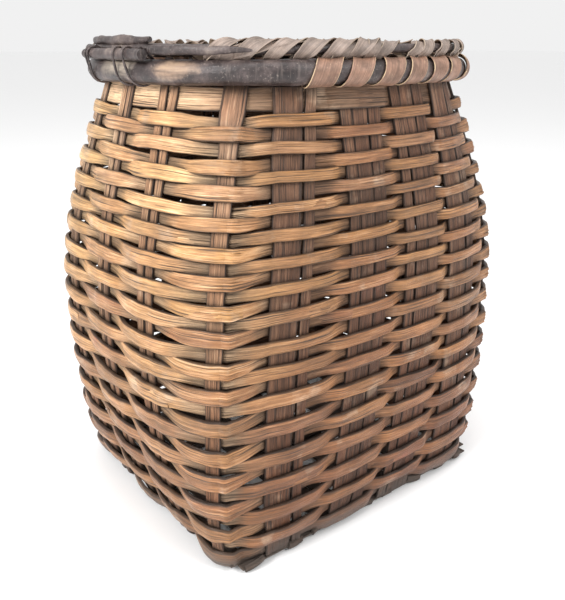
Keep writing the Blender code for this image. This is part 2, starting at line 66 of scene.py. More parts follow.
def swell(sizes, h):
    foot, belly, neck = sizes
    if h < BELLY_HEIGHT:
        return belly + (foot - belly) * (1 - h / BELLY_HEIGHT) ** 2
    s = (h - BELLY_HEIGHT) / (RIM_HEIGHT - BELLY_HEIGHT)
    return belly + (neck - belly) * s * s * (1 + NECK_EASE * (1 - s))


HALF_X = (FOOT[0], BELLY[0], NECK[0])
HALF_Y = (FOOT[1], BELLY[1], NECK[1])


def plan(a, h):
    power = 1 / swell(ROUNDNESS, h)
    reach = abs(math.cos(a) / swell(HALF_X, h)) ** power + abs(math.sin(a) / swell(HALF_Y, h)) ** power
    r = reach ** (-1 / power)
    return np.array((r * math.cos(a), r * math.sin(a), h))


def unit(v):
    return v / np.linalg.norm(v)


def along_plan(a, h):
    return unit(plan(a + 0.004, h) - plan(a - 0.004, h))


def stake_angles():
    front = [(s * FOOT[0], -FOOT[1]) for s in FRONT_SHARES]
    right = [(FOOT[0], s * FOOT[1]) for s in SIDE_SHARES]
    back = [(-x, -y) for x, y in front]
    left = [(-x, -y) for x, y in right]
    places = left[2:] + front + right + back + left[:2]
    feet = [math.pi + (math.atan2(y, x) - math.pi) % TAU for x, y in places]
    return feet, [math.pi + TAU * k / len(places) for k in range(len(places))]


FEET, RIMS = stake_angles()
COUNT = len(FEET)
SIDE_GROUPS = (16, 17, 0, 1, 2, 7, 8, 9, 10, 11)
CORNER_GROUPS = (2, 7, 11, 16)
WIDTHS = [CORNER if g in CORNER_GROUPS else SIDE if g in SIDE_GROUPS else PAIR for g in range(COUNT)]
DEPTHS = [0.0011 if g in CORNER_GROUPS else 0.0015 if g in SIDE_GROUPS else 0.0010 for g in range(COUNT)]


# How far the photo's front groups stand from even places, in degrees, at these heights.
LEAN_HEIGHTS = (0.0, 0.06, 0.14, 0.20, 0.28, 0.34, 0.415)
LEANS = {
    3: (0.0, -1.8, -2.3, -2.4, -2.4, -2.5, -2.6),
    4: (0.0, 0.2, 0.8, 1.4, 1.8, 0.2, -2.6),
    5: (0.0, 0.2, 1.2, 2.6, 3.8, 2.4, -2.2),
    6: (0.0, 0.0, 0.2, 0.6, 1.0, 0.6, -0.8),
}


def turned(u, h):
    """Direction from the axis of a place u, counted in stake groups round the basket."""
    low = math.floor(u)
    share = u - low
    foot = [FEET[k % COUNT] + TAU * (k // COUNT) for k in (low, low + 1)]
    rim = [RIMS[k % COUNT] + TAU * (k // COUNT) for k in (low, low + 1)]
    foot = foot[0] + (foot[1] - foot[0]) * share
    rim = rim[0] + (rim[1] - rim[0]) * share
    lean = [math.radians(np.interp(h, LEAN_HEIGHTS, LEANS[k % COUNT])) if k % COUNT in LEANS else 0.0
            for k in (low, low + 1)]
    return foot + (rim - foot) * h / RIM_HEIGHT + lean[0] + (lean[1] - lean[0]) * share


# Each corner is a fold beside its corner stake: the stake's group, the way to the fold, its push outward,
# and how far the push reaches before and after it, in groups.
FOLDS = (
    (2, 1, 0.0115, 1.0, 0.50),
    (7, -1, 0.0014, 0.5, 0.5),
    (11, 1, 0.0050, 0.5, 0.5),
    (16, -1, 0.0014, 0.5, 0.5),
)
FOLD_GAP, FOLD_SPREAD, SPREAD_HEIGHT = 0.165, 0.075, 0.10
FOLD_TOP, FOLD_FADE = 0.415, 0.040
FOOT_SHARE, FULL_HEIGHT = 0.3, 0.12
CREASE_REACH, CREASE_RISE = 0.055, 0.0011
CORNER_TRIM, TRIM_PLACE, TRIM_REACH, TRIM_HEIGHT = 0.0050, 2.34, 0.13, 0.10
FOOT_TUCK, TUCK_HEIGHT = 0.0040, 0.045


def fold_place(group, way, h):
    """Where a corner's crease lies, in stake groups; near the foot it stands a little further off."""
    return group + way * (FOLD_GAP + FOLD_SPREAD * max(0.0, 1 - h / SPREAD_HEIGHT))


def fold_gap(u, group, way, h):
    """How far a place is past a corner's crease, in stake groups."""
    return (u - fold_place(group, way, h) + COUNT / 2) % COUNT - COUNT / 2


def folded(u, h):
    """A point of the wall, pushed out along each corner below the neck and tucked in at the foot."""
    turn = turned(u, h)
    point = plan(turn, h)
    push = 0.0
    for group, way, most, before, after in FOLDS:
        gap = fold_gap(u, group, way, h)
        push += most * max(0.0, 1 - abs(gap) / (before if gap < 0 else after))
    push *= min(1.0, max(0.0, (FOLD_TOP - h) / FOLD_FADE))
    push *= min(1.0, FOOT_SHARE + (1 - FOOT_SHARE) * h / FULL_HEIGHT)
    beside = math.exp(-((u % COUNT - TRIM_PLACE) / TRIM_REACH) ** 2)
    push -= CORNER_TRIM * beside * max(0.0, 1 - h / TRIM_HEIGHT)
    push -= FOOT_TUCK * max(0.0, 1 - h / TUCK_HEIGHT)
    if push:
        t = along_plan(turn, h)
        point = point + np.array((t[1], -t[0], 0)) * push
    return point


BESIDE, ABOVE = 0.03, 0.006


def wall(u, h):
    """Point of the wall, direction along the row and outward normal at a place and height."""
    tangent = unit(folded(u + BESIDE, h) - folded(u - BESIDE, h))
    slope = folded(u, h + ABOVE) - folded(u, h - ABOVE)
    return folded(u, h), tangent, unit(np.cross(tangent, slope))


def rim(angle, offset, height):
    """A point beside the wall at the rim, at an angle from the hinge side towards the front."""
    turn = math.pi + math.radians(angle)
    t = along_plan(turn, RIM_HEIGHT)
    p = plan(turn, RIM_HEIGHT) + np.array((t[1], -t[0], 0)) * offset
    return np.array((p[0], p[1], height)), t, np.array((t[1], -t[0], 0.0))


# Smooth paths and strips along them.

def wave(s, seed, length):
    """A smooth seeded wobble between about -1 and 1 along s."""
    r = np.random.default_rng(seed)
    turns = np.asarray(s, float) / length * TAU
    out = np.zeros_like(turns)
    for k in range(4):
        pace = 0.55 + 0.8 * k + 0.4 * r.random()
        out += np.sin(turns * pace + TAU * r.random()) / (k + 1)
    return out / 1.7


def lengths(points):
    return np.concatenate([[0], np.cumsum(np.linalg.norm(np.diff(points, axis=0), axis=1))])


def spline(rows, step):
    """Samples of a smooth curve through rows of numbers whose first three are a point."""
    rows = np.asarray(rows, float)
    place = np.concatenate([[0], np.cumsum(np.linalg.norm(np.diff(rows[:, :3], axis=0), axis=1) + 1e-6)])
    n = len(rows)
    gap = np.diff(place)
    system, right = np.zeros((n, n)), np.zeros((n, rows.shape[1]))
    system[0, 0] = system[-1, -1] = 1
    for k in range(1, n - 1):
        system[k, k - 1:k + 2] = gap[k - 1], 2 * (gap[k - 1] + gap[k]), gap[k]
        right[k] = 6 * ((rows[k + 1] - rows[k]) / gap[k] - (rows[k] - rows[k - 1]) / gap[k - 1])
    bend = np.linalg.solve(system, right)
    at = np.linspace(0, place[-1], max(4, int(round(place[-1] / step))) + 1)
    k = np.clip(np.searchsorted(place, at, side="right") - 1, 0, n - 2)
    a = ((place[k + 1] - at) / gap[k])[:, None]
    b = 1 - a
    h = gap[k][:, None]
    out = a * rows[k] + b * rows[k + 1] + ((a**3 - a) * bend[k] + (b**3 - b) * bend[k + 1]) * h * h / 6
    return out


def sampled(rows, step):
    """Points, out directions and running lengths of a smooth curve through control rows."""
    samples = spline(rows, step)
    return samples[:, :3], samples[:, 3:], np.arange(len(samples)) * step


def directions(points, out, closed=False):
    """Unit directions along, out and across for each sample."""
    if closed:
        run = np.roll(points, -1, 0) - np.roll(points, 1, 0)
    else:
        run = np.gradient(points, axis=0)
    run /= np.linalg.norm(run, axis=1)[:, None]
    out = out - run * (out * run).sum(1)[:, None]
    out /= np.linalg.norm(out, axis=1)[:, None]
    return run, out, np.cross(out, run)


# Sections as places across and out, in shares of width and thickness.
CROWNED = ([(-0.5, -0.36), (-0.47, -0.5), (-0.2, -0.5), (0.2, -0.5), (0.47, -0.5), (0.5, -0.36), (0.5, -0.06),
            (0.49, 0.14), (0.465, 0.27)]
           + [(x, 0.5 - 0.16 * (abs(x) / 0.43) ** 2.6) for x in np.linspace(0.43, -0.43, 15)]
           + [(-0.465, 0.27), (-0.49, 0.14), (-0.5, -0.06)])
FLAT = ([(-0.5, -0.3), (-0.485, -0.5), (0, -0.5), (0.485, -0.5), (0.5, -0.3), (0.5, 0.3)]
        + [(x, 0.5) for x in np.linspace(0.485, -0.485, 15)] + [(-0.5, 0.3)])
HALF_ROD = [(-0.5, -0.42), (-0.42, -0.5), (0, -0.5), (0.42, -0.5), (0.5, -0.42), (0.5, -0.1), (0.46, 0.14),
            (0.36, 0.34), (0.2, 0.46), (0, 0.5), (-0.2, 0.46), (-0.36, 0.34), (-0.46, 0.14), (-0.5, -0.1)]


def round_section(sides):
    return [(0.5 * math.cos(TAU * k / sides), 0.5 * math.sin(TAU * k / sides)) for k in range(sides)]


class Bundle:
    """Closed strips and rods gathered into one piece, with their lay kept for the materials."""

    def __init__(self):
        self.verts, self.faces, self.lay, self.finish, self.total = [], [], [], [], 0

    def strip(self, points, out, width, thick, section, seed, worn=0.6, closed=False, shade=0.5,
              ridges=0.0, cup=0.0, tilt=0.0):
        """A closed strip or rod along points; its section is in shares of width and thickness."""
        points, out = np.asarray(points, float), np.asarray(out, float)
        n, m = len(points), len(section)
        _, out, across = directions(points, out, closed)
        s = lengths(points)
        length = s[-1] + (np.linalg.norm(points[0] - points[-1]) if closed else 0)
        width, thick, worn, ridges, tilt = (np.broadcast_to(np.asarray(value, float), (n,))
                                            for value in (width, thick, worn, ridges, tilt))
        x, y = np.array([p[0] for p in section]), np.array([p[1] for p in section])
        px, py = width[:, None] * x, thick[:, None] * y + cup * (4 * x * x) * np.sign(y + 1)
        r = np.random.default_rng(seed + 7)
        if np.any(ridges):
            first, second = r.normal(size=m), r.normal(size=m)
            blend = 0.5 + 0.5 * wave(s, seed + 3, 0.035)[:, None]
            py = py + ridges[:, None] * (first * blend + second * (1 - blend)) * (y > 0)
        ident = float(r.random())
        cos, sin = np.cos(tilt)[:, None], np.sin(tilt)[:, None]
        px, py = px * cos - py * sin, px * sin + py * cos
        verts = points[:, None, :] + across[:, None, :] * px[..., None] + out[:, None, :] * py[..., None]
        flat = verts.reshape(-1, 3)

        joins = n if closed else n - 1
        i, j = np.arange(joins)[:, None], np.arange(m)[None, :]
        ni, nj = (i + 1) % n, (j + 1) % m
        corners = (i * m + j, i * m + nj, ni * m + nj, ni * m + j)
        quads = np.stack(np.broadcast_arrays(*corners), -1).reshape(-1, 4)
        broad, deep = x * width.mean(), y * thick.mean()
        sides = np.hypot(np.diff(np.append(broad, broad[0])), np.diff(np.append(deep, deep[0])))
        t = np.concatenate([[0], np.cumsum(sides)])
        si = np.broadcast_to(s[:joins, None], (joins, m))
        sn = np.broadcast_to(np.append(s, length)[1:joins + 1, None], (joins, m))
        tj, tn = np.broadcast_to(t[:m], (joins, m)), np.broadcast_to(t[1:], (joins, m))
        lay_s = np.stack([si, si, sn, sn], -1).reshape(-1, 4)
        lay_t = np.stack([tj, tn, tn, tj], -1).reshape(-1, 4)
        a, b, c = (flat[quads[:, k]] for k in range(3))
        centre = points[i[:, 0]][:, None, :].repeat(m, 1).reshape(-1, 3)
        outward = (np.cross(b - a, c - a) * (a - centre)).sum() > 0
        if not outward:
            quads, lay_s, lay_t = quads[:, ::-1], lay_s[:, ::-1], lay_t[:, ::-1]
        self.faces += (quads + self.total).tolist()
        self.lay.append(np.stack([lay_s, lay_t, np.full_like(lay_s, ident)], -1).reshape(-1, 3))
        if not closed:
            first, last = list(range(m)), list(range((n - 1) * m, n * m))
            for cap, at, turned_round in ((first, 0.0, outward), (last, length, not outward)):
                if turned_round:
                    cap = cap[::-1]
                self.faces.append([self.total + v for v in cap])
                k = np.array(cap) % m
                self.lay.append(np.stack([at + deep[k], broad[k], np.full(m, ident)], -1))
        edge, top = np.clip(np.abs(x) * 2, 0, 1), (y > -0.45).astype(float)
        finish = np.broadcast_arrays(worn[:, None], edge, np.full((n, m), float(shade)), top)
        self.verts.append(flat)
        self.finish.append(np.stack(finish, -1).reshape(-1, 4))
        self.total += n * m

    def piece(self, name, material, body, slot, *nodes, sharp=48):
        mesh = bpy.data.meshes.new(name)
        mesh.from_pydata(np.vstack(self.verts), [], self.faces)
        lay = mesh.attributes.new("lay", "FLOAT_VECTOR", "CORNER")
        lay.data.foreach_set("vector", np.vstack(self.lay).astype(np.float32).ravel())
        finish = mesh.attributes.new("finish", "FLOAT_COLOR", "POINT")
        finish.data.foreach_set("color", np.vstack(self.finish).astype(np.float32).ravel())
        mesh.validate()
        mesh.shade_smooth()
        mesh.set_sharp_from_angle(angle=math.radians(sharp))
        mesh.materials.append(material)
        piece = bpy.data.objects.new(name, mesh)
        bpy.context.collection.objects.link(piece)
        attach(piece, body)
        if nodes:
            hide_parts(*nodes)
        return piece


# Materials.

class Nodes:
    """A material's node tree with short calls for the nodes that the woods share."""

    def __init__(self, name):
        self.material = bpy.data.materials.new(name)
        self.material.use_nodes = True
        self.tree = self.material.node_tree
        self.shader = self.tree.nodes["Principled BSDF"]

    def add(self, kind, *values, out=0, **settings):
        node = self.tree.nodes.new("ShaderNode" + kind)
        for key, value in settings.items():
            setattr(node, key, value)
        for place, value in enumerate(values):
            if value is not None:
                self.put(node.inputs[place], value)
        return node.outputs[out]

    def put(self, socket, value):
        if isinstance(value, bpy.types.NodeSocket):
            self.tree.links.new(value, socket)
        else:
            socket.default_value = value

    def math(self, operation, a, b=0.0, c=0.0, clamp=False):
        return self.add("Math", a, b, c, operation=operation, use_clamp=clamp)

    def product(self, a, b):
        return self.math("MULTIPLY", a, b)

    def span(self, value, low, high, to_low=0.0, to_high=1.0):
        return self.add("MapRange", value, low, high, to_low, to_high)

    def cover(self, colour, tone, value, low, high, share):
        """The colour with the tone over it, by up to share where the value goes from low to high."""
        return self.mix(self.span(value, low, high, 0.0, share), colour, tone)

    def ramp(self, value, *stops):
        node = self.tree.nodes.new("ShaderNodeValToRGB")
        self.put(node.inputs[0], value)
        ramp = node.color_ramp
        while len(ramp.elements) < len(stops):
            ramp.elements.new(0.5)
        for element, (place, colour) in zip(ramp.elements, stops):
            element.position, element.color = place, (*colour, 1)
        return node.outputs[0]

    def mix(self, share, a, b, blend="MIX"):
        node = self.tree.nodes.new("ShaderNodeMix")
        node.data_type, node.blend_type = "RGBA", blend
        self.put(node.inputs[0], share)
        for socket, value in ((node.inputs[6], a), (node.inputs[7], b)):
            self.put(socket, (*value, 1) if isinstance(value, tuple) else value)
        return node.outputs[2]

    def noise(self, vector, scale, detail=4.0, rough=0.6):
        node = self.tree.nodes.new("ShaderNodeTexNoise")
        self.put(node.inputs["Vector"], vector)
        node.inputs["Scale"].default_value = scale
        node.inputs["Detail"].default_value = detail
        node.inputs["Roughness"].default_value = rough
        return node.outputs[0]

    def vector(self, x, y, z):
        return self.add("CombineXYZ", x, y, z)

    def times(self, a, b):
        return self.mix(1.0, a, b, "MULTIPLY")

    def attribute(self, name, kind, output):
        node = self.tree.nodes.new("ShaderNodeAttribute")
        node.attribute_name = name
        parts = self.tree.nodes.new(kind)
        self.tree.links.new(node.outputs[output], parts.inputs[0])
        return (*parts.outputs[:3], node.outputs["Alpha"])

    def lay(self):
        """Keeps the places along and round each strip, and returns the strip's own number."""
        self.s, self.t, ident, _ = self.attribute("lay", "ShaderNodeSeparateXYZ", "Vector")
        self.far = self.product(ident, 61.0)
        return ident

    def finish(self):
        """The attribute's worn, edge, shade and top."""
        return self.attribute("finish", "ShaderNodeSeparateColor", "Color")

    def lines(self, along, across, detail, rough=0.6, own=True):
        """Noise stretched along a strip, with its own start on every strip."""
        s = self.math("MULTIPLY_ADD", self.s, along, self.far if own else 0.0)
        return self.noise(self.vector(s, self.product(self.t, across), self.far), 1.0, detail, rough)

    def place(self):
        """The point in space, with its x and z."""
        node = self.tree.nodes.new("ShaderNodeTexCoord")
        parts = self.tree.nodes.new("ShaderNodeSeparateXYZ")
        self.tree.links.new(node.outputs["Object"], parts.inputs[0])
        return node.outputs["Object"], parts.outputs[0], parts.outputs[2]

    def surface(self, colour, rough, height, strength, distance):
        """Gives the shader its colour and roughness, and a bump from height."""
        self.put(self.shader.inputs["Base Color"], colour)
        self.put(self.shader.inputs["Roughness"], rough)
        node = self.tree.nodes.new("ShaderNodeBump")
        node.inputs["Strength"].default_value = strength
        node.inputs["Distance"].default_value = distance
        self.put(node.inputs["Height"], height)
        self.put(self.shader.inputs["Normal"], node.outputs[0])


def splint_material(name, tints, dirt_and_shade, grain=1.0, lit_side_strength=1.0, gloss=0.36, grime_and_shade_strength=1.0,
                    shaded=(0.96, 0.79, 0.66)):
    """Old ash: streaked along the strip, a tint for each strip, grimy grooves and recesses that also carry
    painted shade, painted light on the hinge side, painted shade on the other sides and behind the uprights,
    and painted glints on the crowns.
    """
    n = Nodes(name)
    ident = n.lay()
    worn, edge, shade, _ = n.finish()
    place, x, z = n.place()
    streak, fibre = n.lines(16.0, 560.0, 5.0, 0.72), n.lines(45.0, 1500.0, 2.0)
    crack = n.lines(11.0, 820.0, 2.0)
    figure, blotch = n.lines(11.0, 150.0, 4.0), n.lines(30.0, 75.0, 4.0)
    stain = n.noise(place, 9.0, 4.0, 0.6)
    white = n.add("TexWhiteNoise", None, n.product(ident, 917.0), noise_dimensions="1D", out=0)
    colour = n.ramp(white, *[(k / (len(tints) - 1), tint) for k, tint in enumerate(tints)])
    colour = n.cover(colour, tuple(c * 0.62 for c in tints[1]), figure, 0.42, 0.68, 0.55)
    colour = n.cover(colour, (0.30, 0.125, 0.055), stain, 0.45, 0.7, 0.45)
    light = n.span(streak, 0.36, 0.66, 1.30, 0.56)
    light = n.product(light, n.span(blotch, 0.36, 0.66, 1.20, 0.76))
    light = n.product(light, n.span(fibre, 0.38, 0.62, 1.16, 0.78))
    light = n.product(light, n.span(shade, 0.0, 1.0, 0.76, 1.28))
    bright = n.add("CombineColor", light, light, light)
    colour = n.times(colour, bright)
    colour = n.cover(colour, (0.50, 0.385, 0.265), light, 1.1, 2.0, 0.6)
    # Painted light: the hinge side, lit by the key lamp, is painted lighter, more so higher up, and paler and
    # greyer near the top.
    lit_side = n.product(n.span(x, -0.120, -0.172), lit_side_strength)
    lit_side = n.product(lit_side, n.span(z, 0.02, 0.30, 0.35, 1.0))
    colour = n.mix(n.product(lit_side, 0.62), colour, n.times(colour, (1.75, 1.75, 1.62)))
    upper = n.product(n.span(x, -0.10, -0.165), n.span(z, 0.25, 0.40))
    pale = n.product(upper, 0.8 * lit_side_strength)
    colour = n.mix(pale, colour, n.times(colour, (1.30, 1.40, 1.52)))
    low = n.span(z, 0.30, 0.02)
    colour = n.mix(n.product(low, 0.8), colour, n.times(colour, (0.66, 0.48, 0.38)))
    # Painted shade: away from the hinge side, which the key lamp lights, the colour is darker and redder.
    shaded_side = n.product(n.span(x, -0.165, -0.11), 0.8)
    colour = n.mix(shaded_side, colour, n.times(colour, shaded))
    # Painted glints: pale patches on the outer crowns.
    painted_glints = n.product(n.span(n.noise(place, 26.0, 4.0, 0.65), 0.58, 0.72, 0.0, 0.60), worn)
    colour = n.mix(painted_glints, colour, n.times((0.50, 0.37, 0.26), bright))
    blush = n.product(n.span(n.noise(place, 17.0, 2.0, 0.5), 0.70, 0.80, 0.0, 0.6), worn)
    colour = n.mix(blush, colour, (0.33, 0.085, 0.06))
    # Dirt and painted shade along both edges of each strip, and dark cracks.
    edge_grime_and_shade = n.product(n.span(edge, 0.84, 0.97), n.span(stain, 0.3, 0.6, 0.60, 0.98))
    # Painted shade: parts of a strip that pass behind the uprights are darker, less dark on the lit hinge
    # side.
    painted_shade_behind = n.mix(n.span(x, -0.10, -0.165), (0.115, 0.070, 0.046), (0.34, 0.255, 0.170))
    colour = n.mix(n.span(worn, 0.62, 0.05, 0.0, 0.60), colour, n.times(painted_shade_behind, bright))
    deep = n.math("MAXIMUM", edge_grime_and_shade, n.span(crack, 0.62 - 0.03 * grain, 0.70 - 0.03 * grain, 0.0, 0.88))
    colour = n.mix(deep, colour, dirt_and_shade)
    # Dirt and painted shade in recesses, from ambient occlusion, patchy with the blotches.
    shelter = n.tree.nodes.new("ShaderNodeAmbientOcclusion")
    shelter.samples = 6
    shelter.inputs["Distance"].default_value = 0.011
    hidden = n.span(shelter.outputs["AO"], 0.88, 0.30)
    grime_and_shade = n.product(hidden, n.span(blotch, 0.25, 0.7, 0.75 * grime_and_shade_strength, grime_and_shade_strength))
    colour = n.mix(grime_and_shade, colour, dirt_and_shade)
    foot = n.product(n.span(z, 0.028, 0.008), n.span(blotch, 0.3, 0.6, 0.45, 0.90))
    colour = n.mix(foot, colour, (0.085, 0.066, 0.054))
    rough = n.math("ADD", n.span(worn, 0.0, 1.0, gloss + 0.26, gloss), n.span(blotch, 0.3, 0.7, -0.07, 0.10))
    height = n.span(streak, 0.35, 0.66, 1.0, 0.0)
    height = n.math("MULTIPLY_ADD", n.span(fibre, 0.3, 0.7, 1.0, 0.0), 0.35, height)
    height = n.math("MULTIPLY_ADD", n.span(crack, 0.55, 0.68, 0.0, -1.0), 1.2, height)
    n.surface(colour, rough, height, 0.85, 0.00050 * grain)
    return n.material


def bark_rod_material(name, patches=()):
    """Smooth dark bark with pale scuffs and fine rings.

    Each patch of bare wood has its centre, reach, tones and share.
    """
    n = Nodes(name)
    n.lay()
    place = n.place()[0]
    streak = n.lines(34.0, 260.0, 5.0, 0.68)
    cloud = n.noise(place, 46.0, 5.0, 0.66)
    speck = n.noise(place, 520.0, 3.0, 0.6)
    ring = n.lines(420.0, 40.0, 2.0, 0.5, own=False)
    colour = n.ramp(cloud, (0.34, (0.016, 0.011, 0.011)), (0.47, (0.040, 0.028, 0.027)),
                    (0.57, (0.085, 0.062, 0.058)), (0.70, (0.21, 0.165, 0.140)))
    colour = n.cover(colour, (0.024, 0.017, 0.016), streak, 0.50, 0.72, 0.7)
    colour = n.cover(colour, (0.15, 0.12, 0.105), ring, 0.56, 0.70, 0.35)
    colour = n.cover(colour, (0.24, 0.20, 0.175), speck, 0.60, 0.70, 0.55)
    for centre, reach, tones, share in patches:
        shift = n.add("VectorMath", place, tuple(centre), operation="SUBTRACT")
        gap = n.add("VectorMath", shift, tuple(1 / r for r in reach), operation="MULTIPLY")
        size = n.add("VectorMath", gap, operation="LENGTH", out=1)
        bare = n.math("ADD", size, n.span(cloud, 0.2, 0.8, 0.6, -0.6))
        wood = n.ramp(streak, *zip((0.34, 0.56, 0.72), tones))
        colour = n.cover(colour, wood, bare, 1.15, 0.45, share)
    rough = n.span(cloud, 0.3, 0.7, 0.34, 0.56)
    height = n.math("MULTIPLY_ADD", streak, 0.9, n.product(speck, 0.35))
    n.surface(colour, rough, n.math("MULTIPLY_ADD", ring, 0.3, height), 0.7, 0.0010)
    return n.material


def bark_strip_material(name, outer, inner, pale):
    """Thin bark strip: mauve brown outside, paler inside, cream cut edges."""
    n = Nodes(name)
    n.lay()
    _, edge, _, top = n.finish()
    place = n.place()[0]
    streak, fibre = n.lines(14.0, 620.0, 5.0, 0.7), n.lines(40.0, 1300.0, 2.0)
    pore = n.lines(170.0, 700.0, 3.0, own=False)
    cloud = n.noise(place, 60.0, 4.0, 0.62)
    colour = n.mix(n.span(cloud, 0.38, 0.64), tuple(c * 1.25 for c in outer), tuple(c * 0.55 for c in outer))
    colour = n.cover(colour, tuple(c * 0.36 for c in outer), streak, 0.42, 0.66, 0.75)
    colour = n.cover(colour, tuple(c * 0.40 for c in outer), fibre, 0.55, 0.66, 0.6)
    colour = n.cover(colour, pale, pore, 0.60, 0.74, 0.4)
    colour = n.mix(n.math("SUBTRACT", 1.0, top, clamp=True), colour, inner)
    rim_line = n.product(n.span(edge, 0.95, 0.99), n.span(cloud, 0.44, 0.54, 0.0, 1.0))
    colour = n.mix(rim_line, colour, pale)
    rough = n.span(cloud, 0.3, 0.7, 0.42, 0.62)
    height = n.math("MULTIPLY_ADD", streak, 0.9, n.product(pore, 0.4))
    n.surface(colour, rough, height, 0.5, 0.0007)
    return n.material


# Dark colour for dirt, cracks and painted shade in grooves and recesses.
DIRT_AND_SHADE = (0.035, 0.020, 0.013)
WEAVER_TINTS = ((0.330, 0.178, 0.078), (0.430, 0.250, 0.105), (0.250, 0.125, 0.055), (0.390, 0.205, 0.072),
                (0.300, 0.185, 0.105), (0.235, 0.108, 0.048), (0.400, 0.225, 0.088))
STAKE_TINTS = ((0.200, 0.108, 0.060), (0.250, 0.145, 0.085), (0.165, 0.088, 0.050), (0.225, 0.130, 0.080),
               (0.185, 0.105, 0.066))
BAND_TINTS = ((0.450, 0.290, 0.170), (0.380, 0.235, 0.135), (0.500, 0.330, 0.200))
weaver_wood = splint_material("weaver_ash", WEAVER_TINTS, DIRT_AND_SHADE)
stake_wood = splint_material("stake_ash", STAKE_TINTS, DIRT_AND_SHADE, grain=1.7, lit_side_strength=1.5, gloss=0.55,
                             shaded=(0.60, 0.45, 0.36))
band_wood = splint_material("band_ash", BAND_TINTS, DIRT_AND_SHADE, grain=1.2, lit_side_strength=1.3, gloss=0.52, grime_and_shade_strength=0.35,
                            shaded=(0.32, 0.25, 0.22))
lid_wood = splint_material("lid_ash", BAND_TINTS, DIRT_AND_SHADE, grain=1.3, lit_side_strength=0.0, gloss=0.55)
BARE_TONES = ((0.40, 0.27, 0.17), (0.26, 0.17, 0.115), (0.10, 0.07, 0.055))
GREY_AND_LIT_TONES = ((0.44, 0.37, 0.29), (0.27, 0.225, 0.18), (0.10, 0.082, 0.07))
# The rim rod's two pale patches: bare tan wood, and grey wood at the hinge end that is also painted lighter,
# as painted light where the key lamp falls.
rod_bark = bark_rod_material("rod_bark", (
    (rim(26, ROD_OFFSET + 0.009, RIM_HEIGHT + 0.003)[0], (0.020, 0.022, 0.007), BARE_TONES, 0.85),
    (rim(3, ROD_OFFSET + 0.009, RIM_HEIGHT + 0.004)[0], (0.026, 0.030, 0.010), GREY_AND_LIT_TONES, 0.80)))
dark_bark = bark_rod_material("stick_bark")
lashing_bark = bark_strip_material("lashing_bark", outer=(0.285, 0.160, 0.108), inner=(0.34, 0.22, 0.14),
                                   pale=(0.58, 0.42, 0.26))
lid_bark = bark_strip_material("lid_lashing_bark", outer=(0.270, 0.205, 0.170), inner=(0.24, 0.17, 0.12),
                               pale=(0.36, 0.28, 0.21))
vine_bark = bark_rod_material("vine_bark")


# The wall.

ROW_GAP, TOP_ROW_SHARE = 0.0013, 0.83
CAD_BAND_WIDTH = 0.0175
ROW_LIFT, LIFT_TOP, LIFT_STRETCH = 0.008, 0.33, 0.075


def row_heights():
    """Middle height and width of each row; as in the photo, the lower rows lie higher than even ones."""
    band_low = BAND_HEIGHT - CAD_BAND_WIDTH / 2 - ROW_GAP
    first = WALL_FOOT + ROW_GAP
    shares = [1 + (TOP_ROW_SHARE - 1) * k / (ROWS - 1) for k in range(ROWS)]
    room = band_low - first - ROW_GAP * (ROWS - 1)
    rows = []
    for k, share in enumerate(shares):
        width = room * share / sum(shares)
        middle = first + room * sum(shares[:k]) / sum(shares) + ROW_GAP * k + width / 2
        turn = math.pi * min(middle, LIFT_TOP) / LIFT_TOP
        stretch = LIFT_STRETCH * math.cos(turn) if middle < LIFT_TOP else 0.0
        rows.append((middle + ROW_LIFT * math.sin(turn), width * (1 + stretch)))
    return rows


# Room beside the uprights, and the rows' widths outside the front's and the sides' uprights, inside
# them and where two rows cross.
CLEARANCE, PLATEAU, CROWN = 0.0003, 0.0016, 0.0009
FRONT_WIDE, SIDE_WIDE, INNER_WIDE, CROSSING_WIDE = 1.04, 1.24, 1.14, 1.08
UNDER = 0.12
PATH_STEP, CREASE_STEP = 0.05, 0.02


